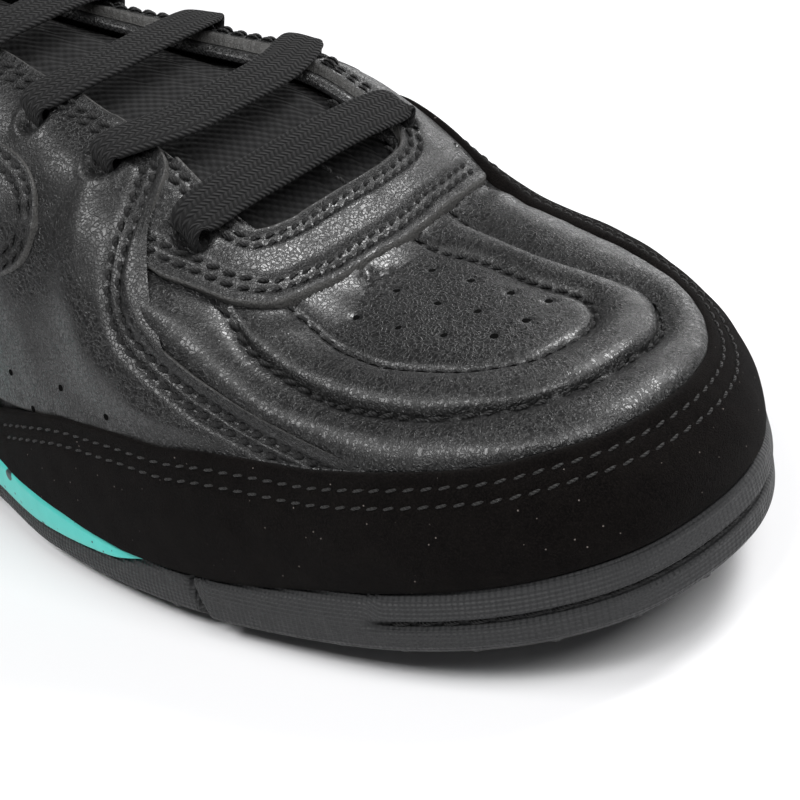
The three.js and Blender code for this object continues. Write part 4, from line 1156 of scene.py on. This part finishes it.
def pinholes(grid):
    """Four small air holes low on the inner side: the nearest surface point to each, as x, y, z."""
    places = np.array([[126.3, -37.2, 37.6], [141.4, -40.5, 38.7], [131.5, -39.2, 33.2], [154, -42.8, 37.1]])
    flat = grid.reshape(-1, 3)
    n, m = grid.shape[:2]
    points, normals = [], []
    for place in places:
        best = ((flat - place) ** 2).sum(1).argmin()
        i, j = min(max(best // m, 1), n - 2), min(max(best % m, 1), m - 2)
        normal = np.cross(grid[i + 1, j] - grid[i - 1, j], grid[i, j + 1] - grid[i, j - 1])
        points.append(grid[i, j])
        normals.append(unit(normal))
    normals = np.array(normals)
    normals *= np.sign((normals * [0, -1, 0]).sum(1))[:, None]
    holes("air_holes", np.array(points), normals, 0.6)


# Band across the vamp in front of the throat

def band():
    front = on_skin(BAND_FRONT)
    throat = on_skin(BAND_THROAT)
    seams = [shifted(BAND_FRONT, by) for by in (3.0, 5.0)]
    seams += [shifted(BAND_THROAT, -by) for by in (2.2, 4.2)]
    paths = [on_skin(seam) for seam in seams]

    def relief(station, v, base):
        height = ripple(base, 5.0, 0.14) + eyelet_pits(base, (-1, 1)) - dents(base, paths, 0.6, 0.8)
        d_front, _ = distance(base, front)
        d_throat, _ = distance(base, throat)
        return height + 0.35 * np.exp(-(d_front / 1.3) ** 2) + 0.3 * pillow(d_front, d_throat)
    piece, _ = patch("band_leather", BAND, BAND_FACE, [LEATHER], step=0.6, count=42, relief=relief)
    own(piece, "leather", "vamp_band")
    lines = [thread_line(clear_of_cap(seam), BAND_FACE, relief) for seam in seams]
    stitches("band_thread", lines, DARK_THREAD, pitch=2.8, length=2.4, width=0.9, height=0.5, turn=20)


# Suede toe cap, heel counter and heel tab

def cap_rows(by):
    """The cap's edge moved down by a length over the suede."""
    station, v = rim_chart(CAP_LINE[:, 0], CAP_LINE[:, 1])
    points, up = skin(station, v), outward(station, v)
    goal = points - unit(np.cross(up, np.gradient(points, axis=0))) * by
    way_up = CAP_LINE[:, 1].copy()
    for _ in range(4):
        here = skin(*rim_chart(CAP_LINE[:, 0], way_up))
        slope = (skin(*rim_chart(CAP_LINE[:, 0], way_up + 0.004)) - here) / 0.004
        way_up += np.clip(((goal - here) * slope).sum(1) / (slope ** 2).sum(1), -0.1, 0.1)
    row = np.stack([CAP_LINE[:, 0], way_up], -1)[36:-36]
    return curve(row[::9], 0.8, lambda r: skin(*rim_chart(r[:, 0], r[:, 1])))


def toe_cap():
    rows = [[t, up, t, 0.0] for t, up in CAP_LINE[::12]]
    seams = [cap_rows(by) for by in (2.9, 5.6)]
    paths = [skin(*rim_chart(seam[:, 0], seam[:, 1])) for seam in seams]

    def relief(station, v, base):
        height = ripple(base, 8.0, 0.2) - dents(base, paths, 0.4, 0.9)
        edge, _ = distance(base, CAP_PATH)
        return height + 0.25 * np.exp(-((edge - 1.4) / 1.0) ** 2) + 0.5 * fade(6, 14, edge)
    piece, _ = patch("cap_suede", rows, CAP_FACE, [SUEDE], step=1.0, count=40, radius=0.7, relief=relief,
                     chart=rim_chart)
    own(piece, "suede", "toe_cap")
    lines = [thread_line(seam, CAP_FACE, relief, rim_chart) for seam in seams]
    stitches("cap_thread", lines, GREY_THREAD, pitch=2.9, length=2.1, width=0.5, height=0.25, turn=10,
             lift=0.0)


def heel_parts():
    turns = np.linspace(-COUNTER_END, COUNTER_END, 23)

    def counter_up(t):
        station, side = abs(t), -1 if t >= 0 else 1
        return 1 - abs(float(v_at(station, side, counter_height(station))))

    def unevenness(station, v, base):
        return ripple(base, 8.0, 0.2)
    rows = [[t, counter_up(t), t, 0.0] for t in turns]
    piece, _ = patch("counter_suede", rows, COUNTER_FACE, [SUEDE], step=1.3, count=22, radius=0.7,
                     relief=unevenness, chart=rim_chart, ends=True)
    own(piece, "suede", "heel_counter")
    edge = np.array([[t, counter_up(t)] for t in turns])
    lines = [thread_line(edge - [0, drop], COUNTER_FACE, unevenness, rim_chart) for drop in (0.04, 0.075)]
    turns = np.linspace(-TAB_END, TAB_END, 9)

    def tab_top(t):
        return float(top_edge(abs(t), -1)) - 0.012
    rows = [[t, tab_top(t), t, counter_up(t) + 0.006] for t in turns]
    piece, _ = patch("tab_leather", rows, COUNTER_FACE, [LEATHER], step=0.8, count=30, radius=0.7,
                     chart=rim_chart, ends=True)
    own(piece, "leather", "heel_tab")
    for t in (-TAB_END + 0.09, TAB_END - 0.09):
        top, bottom = tab_top(t), counter_up(t)
        line = np.array([[t, top - 0.03], [t, (top + bottom) / 2], [t, bottom + 0.03]])
        lines.append(thread_line(line, COUNTER_FACE, None, rim_chart))
    stitches("heel_thread", lines, GREY_THREAD, pitch=3.2, length=2.4, width=0.62, height=0.38, turn=12)


# Padded side panels

def side_panels():
    lines = []
    for side, name, solid in (
        (-1, "side_panel_inner", "side_panel_medial"),
        (1, "side_panel_outer", "side_panel_lateral"),
    ):
        rows = []
        for station, low, high in SIDE_PANEL:
            a = float(v_at(station, side, height_of(high)))
            b = float(v_at(station, side, height_of(low)))
            rows.append([station, a, station, b])
        table = np.array(rows)
        rim = curve(np.vstack([table[::-1, 2:], table[1:, :2]]), 0.6, on_skin)[4:-4]
        seams = [shifted(rim, by * side) for by in (1.6, 3.9)]
        paths = [on_skin(seam) for seam in seams]

        def relief(station, v, base):
            height = ripple(base, 6.0, 0.15)
            nearest = np.full(base.shape[:-1], 99.0)
            for path in paths:
                near, _ = distance(base, path)
                nearest = np.minimum(nearest, near)
                height -= 0.5 * np.exp(-(near / 0.8) ** 2)
            return height + 0.9 * fade(0.5, 7.0, nearest)
        piece, _ = patch(name, table, PANEL_FACE, [LEATHER], step=0.9, count=36, radius=0.9, relief=relief,
                         back=LEATHER_FACE - 0.6, ends=True)
        own(piece, "panel", solid)
        lines += [thread_line(seam, PANEL_FACE, relief) for seam in seams]
    stitches("panel_thread", lines, DARK_THREAD, pitch=2.9, length=2.5, width=0.95, height=0.5, turn=18)


# Tongue and laces

# Edge of the tongue. Columns: station, way up of the form at which it ends on both sides.
TONGUE_EDGE = [
    [4.56, 0.82], [4.59, 0.75], [4.65, 0.69], [4.78, 0.635], [5.0, 0.61], [5.3, 0.6], [6.5, 0.61],
    [7.6, 0.66], [8.6, 0.7], [8.95, 0.78],
]
TONGUE_FACE, TONGUE_THICKNESS = -5.2, 4.5


def tongue():
    """Padded strip under the laces, channelled along its length."""
    stations = np.array([4.56, 4.58, 4.62, 4.7, 4.85, 5.1, 5.5, 6.0, 6.5, 7.0, 7.5, 8.0, 8.5, 8.95])
    edge = 1 - hermite(TONGUE_EDGE, 1, stations)
    rows = [[s, -e, s, e] for s, e in zip(stations, edge)]

    def relief(station, v, base):
        middle = base[:, base.shape[1] // 2:base.shape[1] // 2 + 1, 1]
        channel = np.cos((base[..., 1] - middle) / 5.5 * math.pi)
        return 0.5 * np.abs(channel) ** 0.7 - 0.6
    piece, _ = patch("tongue_pad", rows, TONGUE_FACE, [TONGUE_CLOTH], step=1.4, count=52, radius=2.2,
                     relief=relief, back=TONGUE_FACE - TONGUE_THICKNESS, ends=True, puff=2.0)
    own(piece, "tongue", "tongue")


# Route of a lace. Columns: part of the way from the inner to the outer eyelet, offset, width.
LACE_ROUTE = [
    [-0.004, -4.0, 4.4], [-0.004, -1.6, 4.6], [0.004, 0.6, 5.2], [0.03, 2.0, 6.6], [0.08, 2.2, 8.0],
    [0.16, 1.9, 8.6], [0.3, 1.6, 8.6], [0.5, 1.5, 8.6], [0.7, 1.6, 8.6], [0.84, 1.9, 8.6],
    [0.92, 2.2, 8.0], [0.97, 2.0, 6.6], [0.996, 0.6, 5.2], [1.004, -1.6, 4.6], [1.004, -4.0, 4.4],
]
LACE_BOW = [0.0, 5.0, 3.0, 2.0, 1.0]


def lace(number, x):
    """Flat braid from eyelet to eyelet: a flattened round section carried along the route."""
    def place(part):
        v = EYELET_V[-1] + (EYELET_V[1] - EYELET_V[-1]) * part
        return station_over(x + LACE_BOW[number - 1] * np.sin(math.pi * np.clip(part, 0, 1)) ** 1.5, v), v

    def measure(rows):
        return skin(*place(rows[:, 0]), rows[:, 1])
    line = curve(LACE_ROUTE, 0.5, measure)
    station, v = place(line[:, 0])
    centre = skin(station, v, line[:, 1])
    way = unit(np.gradient(centre, axis=0))
    wide = skin(station + 0.05, v, line[:, 1]) - skin(station - 0.05, v, line[:, 1])
    wide = unit(wide - way * (wide * way).sum(1, keepdims=True))
    out = np.cross(way, wide)
    out *= np.sign((out * outward(station, v)).sum(1, keepdims=True).mean())
    turn = np.linspace(0, 2 * math.pi, 33)
    across = np.sign(np.cos(turn)) * np.abs(np.cos(turn)) ** 0.7
    thick = np.sign(np.sin(turn)) * np.abs(np.sin(turn)) ** 0.8
    run = run_length(centre)
    twist = 0.35 * np.sin(run / 6.5 + number)
    grid = (centre[:, None] + wide[:, None] * (across * 0.5)[None, :, None] * line[:, 2, None, None]
            + out[:, None] * (thick * 0.5 * LACE_THICKNESS + across * 0.3)[None, :, None]
            + out[:, None] * twist[:, None, None] * 0.4)
    reach = (across * 0.5 + 0.5) * LACE_WIDTH + np.where(turn > math.pi, 20, 0)
    uv = np.stack(np.broadcast_arrays(run[:, None], reach[None]), -1)
    n, m = grid.shape[:2]
    faces = grid_faces(n, m)
    normal = np.cross(grid[n // 2 + 1, 8] - grid[n // 2, 8], grid[n // 2, 9] - grid[n // 2, 8])
    if normal @ out[n // 2] < 0:
        faces = faces[:, ::-1]
    tips = []
    for row, flip in ((0, True), ((n - 1) * m, False)):
        for k in range(1, 15):
            tips.append([row + k, row + k + 1, row + 31 - k, row + 32 - k][::-1 if flip else 1])
    faces = np.concatenate([faces, np.array(tips)])
    piece = make_mesh(f"lace_{number}", grid.reshape(-1, 3), faces, uv.reshape(-1, 2), [LACE_CLOTH])
    own(piece, "lace", f"lace_bar_{number}")


# Sole

# Height of the stitched groove as a share of the rubber's height
GROOVE_HEIGHT = 0.52
# Flat pads under heel and ball: x and radius
PADS = ((0, 10), (138, 14))


def sole_top(x):
    return rim_z(x) - 0.3


def wedge_foot(x, stations):
    """Height of the joint between rubber and wedge, which climbs to the top where the wedge ends."""
    taper = fade(WEDGE_END - WEDGE_TAPER, WEDGE_END, stations)
    return split_z(x) + (sole_top(x) - split_z(x)) * taper ** 1.3


def ring_solid(name, stations, rings, slots, across=8, close_end=False):
    """A solid from rings round the outline: rings run from the outer bottom to the inner top.

    The first and last ring are joined across the shoe, so the bottom and the top are closed.
    """
    sides = []
    for side in (-1, 1):
        t = loop_place(stations, side)
        offset, z = rings(stations, side)
        plan = edge_point(t[:, None] + 0 * offset, offset)
        sides.append(np.concatenate([plan, z[..., None]], -1))
    n, m = sides[0].shape[:2]
    points = [side.reshape(-1, 3) for side in sides]
    faces = [grid_faces(n, m), grid_faces(n, m, n * m, True)]
    part = np.linspace(0, 1, across + 1)[None, :, None]
    count = 2 * n * m
    for ring, flip in ((0, True), (m - 1, False)):
        sheet = sides[0][:, None, ring] * (1 - part) + sides[1][:, None, ring] * part
        points.append(sheet.reshape(-1, 3))
        faces.append(grid_faces(n, across + 1, count, flip))
        count += n * (across + 1)
    if close_end:
        k = np.arange(m - 1)
        row = (n - 1) * m
        faces.append(np.stack([row + k, n * m + row + k, n * m + row + k + 1, row + k + 1], -1))
    points = np.concatenate(points)
    plan = np.concatenate([surface_uv(side).reshape(-1, 2) for side in sides] + [points[2 * n * m:, :2]])
    return make_mesh(name, points, np.concatenate(faces), plan, slots)


def slit_station(part):
    """Station of the slit in the rubber side: it leans forward towards the floor."""
    return 8.42 + 0.13 * (1 - part)


def outsole():
    def rings(stations, side):
        x = edge_point(loop_place(stations, side))[:, 0]
        low = bottom_z(x)
        top = np.where(stations >= WEDGE_END, sole_top(x), wedge_foot(x, stations))
        part = np.concatenate([[0], np.linspace(0, 1, 48)])
        tall = (top - low)[:, None]
        z = low[:, None] + tall * part
        inset = 1.6 * (1 - np.clip(part / 0.2, 0, 1)) ** 2 + 1.0 * np.clip((part - 0.86) / 0.14, 0, 1) ** 2
        wall = 1.4 - 0.5 * fade(0.5, 1.0, part)[None] - inset[None] + 0 * z
        away = stations[:, None] - slit_station(part)[None]
        wall -= 0.75 * (1 - fade(-0.02, 0.0, away))
        wall -= 1.9 * np.exp(-(away / 0.034) ** 2)
        height = part[None] * tall
        seam = GROOVE_HEIGHT * tall
        live = fade(9.75, 9.95, stations)[:, None]
        wall -= 1.3 * live * np.exp(-((height - seam) / 0.62) ** 2)
        wall += 0.35 * live * fade(0.5, 1.5, height - seam)
        column = np.ones((len(stations), 1))
        x_in = edge_point(loop_place(stations, side), -12.0)[:, 0]
        x_mid = edge_point(loop_place(stations, side), -5.0)[:, 0]
        offset = np.concatenate([column * [-12.0, -5.0], wall, column * [-3.0, -3.9, -12.0]], 1)
        z_in = np.stack([bottom_z(x_in), bottom_z(x_mid)], 1)
        floor = np.minimum(top, bed_z(x_in))
        top_in = np.stack([top, floor, floor], 1)
        return offset, np.concatenate([z_in, z, top_in], 1)
    near_slit = np.linspace(8.2, 8.7, 56)[1:]
    stations = np.concatenate([np.linspace(0, 8.2, 150), near_slit, np.linspace(8.7, LAST, 170)[1:]])
    own(ring_solid("sole_rubber", stations, rings, [RUBBER], across=6), "rubber", "outsole")


def nubs():
    """Blunt cones in staggered rows, a row of small ones along the edge, and the two flat pads."""
    places = [[x, 0, radius, radius + 1] for x, radius in PADS]
    pitch = 19.0
    for row in range(30):
        x = 9 - HEEL_REST + row * pitch * 0.87
        if x > SOLE_LENGTH - HEEL_REST - 8 or bottom_z(x) - NUB_HEIGHT - spring(x) > 0.2 * ARCH_LIFT:
            continue
        for place in range(-4, 5):
            y = (place + (row % 2) / 2) * pitch
            places.append([x, y, 2.7, 3.7])
    around = [[t, 0] for t in np.arange(0, 2 * LAST + 0.1, 0.25)]
    path = curve(around, 12.0, lambda r: edge_point(r[:, 0], -3.0))
    rim = edge_point(path[:-1, 0], -1.5)
    kept = []
    outline = edge_point(np.arange(0, 2 * LAST, 0.05), 0.0)
    for x, y, tip, root in places:
        away = np.hypot(outline[:, 0] - x, outline[:, 1] - y).min()
        clear = all(math.hypot(x - middle, y) > radius + root + 2 for middle, radius in PADS)
        if tip > 5 or (clear and away > 8 and inside(np.array([[x, y]]), outline)[0]):
            kept.append([x, y, tip, root])
    for x, y in rim:
        if bottom_z(x) - NUB_HEIGHT - spring(x) < 0.2 * ARCH_LIFT:
            kept.append([x, y, 1.3, 2.1])
    kept = np.array(kept)
    turn = np.linspace(0, 2 * math.pi, 17)
    reach = np.array([0.0, 0.82, 0.95, 1.0])
    level = np.array([0.0, 0.0, 0.12, 0.35])
    radius = np.concatenate([kept[:, 2:3] * reach, kept[:, 3:4] * [1, 0]], 1)
    small = kept[:, 2] < 2
    base = bottom_z(kept[:, 0]) - np.where(small, 0.35, NUB_HEIGHT)
    root = np.where(small, 2.6, NUB_HEIGHT + 0.6)
    z = base[:, None] + np.concatenate([np.tile(level, (len(kept), 1)), root[:, None], root[:, None]], 1)
    grid = np.stack([
        kept[:, 0, None, None] + radius[..., None] * np.cos(turn),
        kept[:, 1, None, None] + radius[..., None] * np.sin(turn),
        z[..., None] + 0 * turn,
    ], -1)
    n, m = grid.shape[1:3]
    faces = repeated(grid_faces(n, m, flip=True), len(kept), n * m)
    flat = grid.reshape(-1, 3)
    own(make_mesh("sole_nubs", flat, faces, flat[:, :2], [RUBBER]), "rubber")


def sole_thread():
    """Thick thread in the groove round the toe, on both sides."""
    t = np.arange(9.95, 2 * LAST - 9.9, 0.02)
    x = edge_point(t)[:, 0]
    low, high = bottom_z(x), sole_top(x)
    plan = edge_point(t, 0.55)
    points = np.concatenate([plan, (low + GROOVE_HEIGHT * (high - low))[:, None]], -1)
    out = np.concatenate([plan - edge_point(t, 0.0), np.zeros((len(t), 1))], 1)
    stitches("sole_thread", [(points, unit(out))], DARK_THREAD, pitch=4.4, length=4.0, width=0.9,
             height=0.35, turn=6, lift=-0.25)


def midsole():
    def rings(stations, side):
        t = loop_place(stations, side)
        x = edge_point(t)[:, 0]
        high = sole_top(x)
        low = np.minimum(wedge_foot(x, stations) + 0.3, high - 0.02)
        part = np.linspace(0, 1, 22)
        z = low[:, None] + (high - low)[:, None] * part
        low_round = 0.7 * (1 - np.clip(part / 0.15, 0, 1)) ** 2
        bulge = 1.1 - low_round - 0.9 * np.clip((part - 0.85) / 0.15, 0, 1) ** 2
        wall = (bulge[None] - 0.35 * fade(0.3, 1, part) + 0.6) * fade(0.0, 2.2, high - low)[:, None] - 0.6
        x_in = edge_point(t, -12.0)[:, 0]
        column = np.ones((len(t), 1))
        offset = np.concatenate([column * -12.0, wall, column * [-3.0, -3.9, -12.0]], 1)
        bed = np.clip(bed_z(x_in), low, high)
        return offset, np.concatenate([low[:, None], z, high[:, None], bed[:, None], bed[:, None]], 1)
    stations = np.linspace(0, WEDGE_END, 220)
    own(ring_solid("wedge_foam", stations, rings, [FOAM], across=4, close_end=True), "foam", "midsole")


def insole():
    def rings(stations, side):
        t = loop_place(stations, side)
        inset = np.array([12.0, 4.2, 4.05, 4.5, 6.4, 12.0])
        lift = np.array([0.3, 0.3, 1.2, 2.4, 3.4, 4.2])
        offset = -inset[None] + 0 * t[:, None]
        x = edge_point(t[:, None] + 0 * inset, offset)[..., 0]
        z = bed_z(x) + lift
        z[:, 2:4] = np.maximum(z[:, 2:4], rim_z(x[:, 2:4]) + [0.5, 0.7])
        z[:, 4] = np.maximum(z[:, 4], bed_z(x[:, 4]) + 0.35 * (z[:, 3] - bed_z(x[:, 4])))
        return offset, z
    bed = ring_solid("foot_bed", np.linspace(0, LAST, 160), rings, [LINING_CLOTH], across=10)
    own(bed, "lining", "insole")


# Camera, light and floor

# Area lights. Columns: name, place and size in metres, power in watts.
LIGHTS = [
    ["side", (0.19, -0.52, 0.78), (0.5, 0.24), 4.4],
    ["front", (0.73, -0.16, 0.7), (0.45, 0.45), 5.2],
    ["far", (0.4, 0.54, 0.7), (0.34, 0.22), 6.4],
    ["low_far", (0.0, 0.85, 0.22), (0.5, 0.14), 1.3],
    ["left", (-0.29, -0.36, 0.72), (0.34, 0.26), 3.0],
]
LIGHT_AIM = (0.17, 0.0, 0.03)


def photo_camera():
    """The photograph's view, close to the toe from its inner side, rolled as the photograph is."""
    azimuth, elevation, roll = math.radians(42.0), math.radians(27.57), math.radians(-11.88)
    target = Vector((0.19442, -0.01641, 0.033))
    level = math.cos(elevation)
    back = Vector((math.sin(azimuth) * level, -math.cos(azimuth) * level, math.sin(elevation)))
    data = bpy.data.cameras.new("camera")
    data.sensor_width = 36
    data.lens = 99.0
    data.clip_start = 0.01
    camera = bpy.data.objects.new("camera", data)
    turn = (-back).to_track_quat("-Z", "Y").to_matrix().to_4x4()
    camera.matrix_world = Matrix.Translation(target + back * 0.357) @ turn @ Matrix.Rotation(roll, 4, "Z")
    bpy.context.scene.collection.objects.link(camera)
    bpy.context.scene.camera = camera


def area_light(name, place, size, power):
    data = bpy.data.lights.new(name, "AREA")
    data.shape = "RECTANGLE"
    data.size, data.size_y = size
    data.energy = power
    light = bpy.data.objects.new(name, data)
    light.location = place
    light.rotation_euler = (Vector(LIGHT_AIM) - Vector(place)).to_track_quat("-Z", "Y").to_euler()
    bpy.context.scene.collection.objects.link(light)


def studio():
    """Pale floor, pale surroundings and large soft lights above, behind and beside the shoe."""
    world = bpy.data.worlds.new("studio")
    world.use_nodes = True
    world.node_tree.nodes["Background"].inputs[0].default_value = (1, 1, 1, 1)
    world.node_tree.nodes["Background"].inputs[1].default_value = 0.09
    bpy.context.scene.world = world
    bpy.context.scene.view_settings.view_transform = "Standard"
    for light in LIGHTS:
        area_light(*light)
    corners = np.array([[-1, -1, 0], [1, -1, 0], [1, 1, 0], [-1, 1, 0]]) * 3000.0
    floor = make_mesh("floor", corners, np.array([[0, 1, 2, 3]]), np.zeros((4, 2)), [floor_material()])


def floor_material():
    made, tree, shader = material("floor_paper", (0.78, 0.78, 0.79), 0.8, Specular_IOR_Level=0.2)
    fibre = noise(tree, in_mm(tree), 0.8, 3).outputs[0]
    feed(shader, "Normal", bump(tree, fibre, 0.05, 0.2))
    return made


photo_camera()
studio()
upper_body()
vamp_details(*vamp())
quarters()
band()
toe_cap()
heel_parts()
side_panels()
tongue()
for number, x in enumerate(LACE_X, start=1):
    lace(number, x)
outsole()
nubs()
sole_thread()
midsole()
insole()
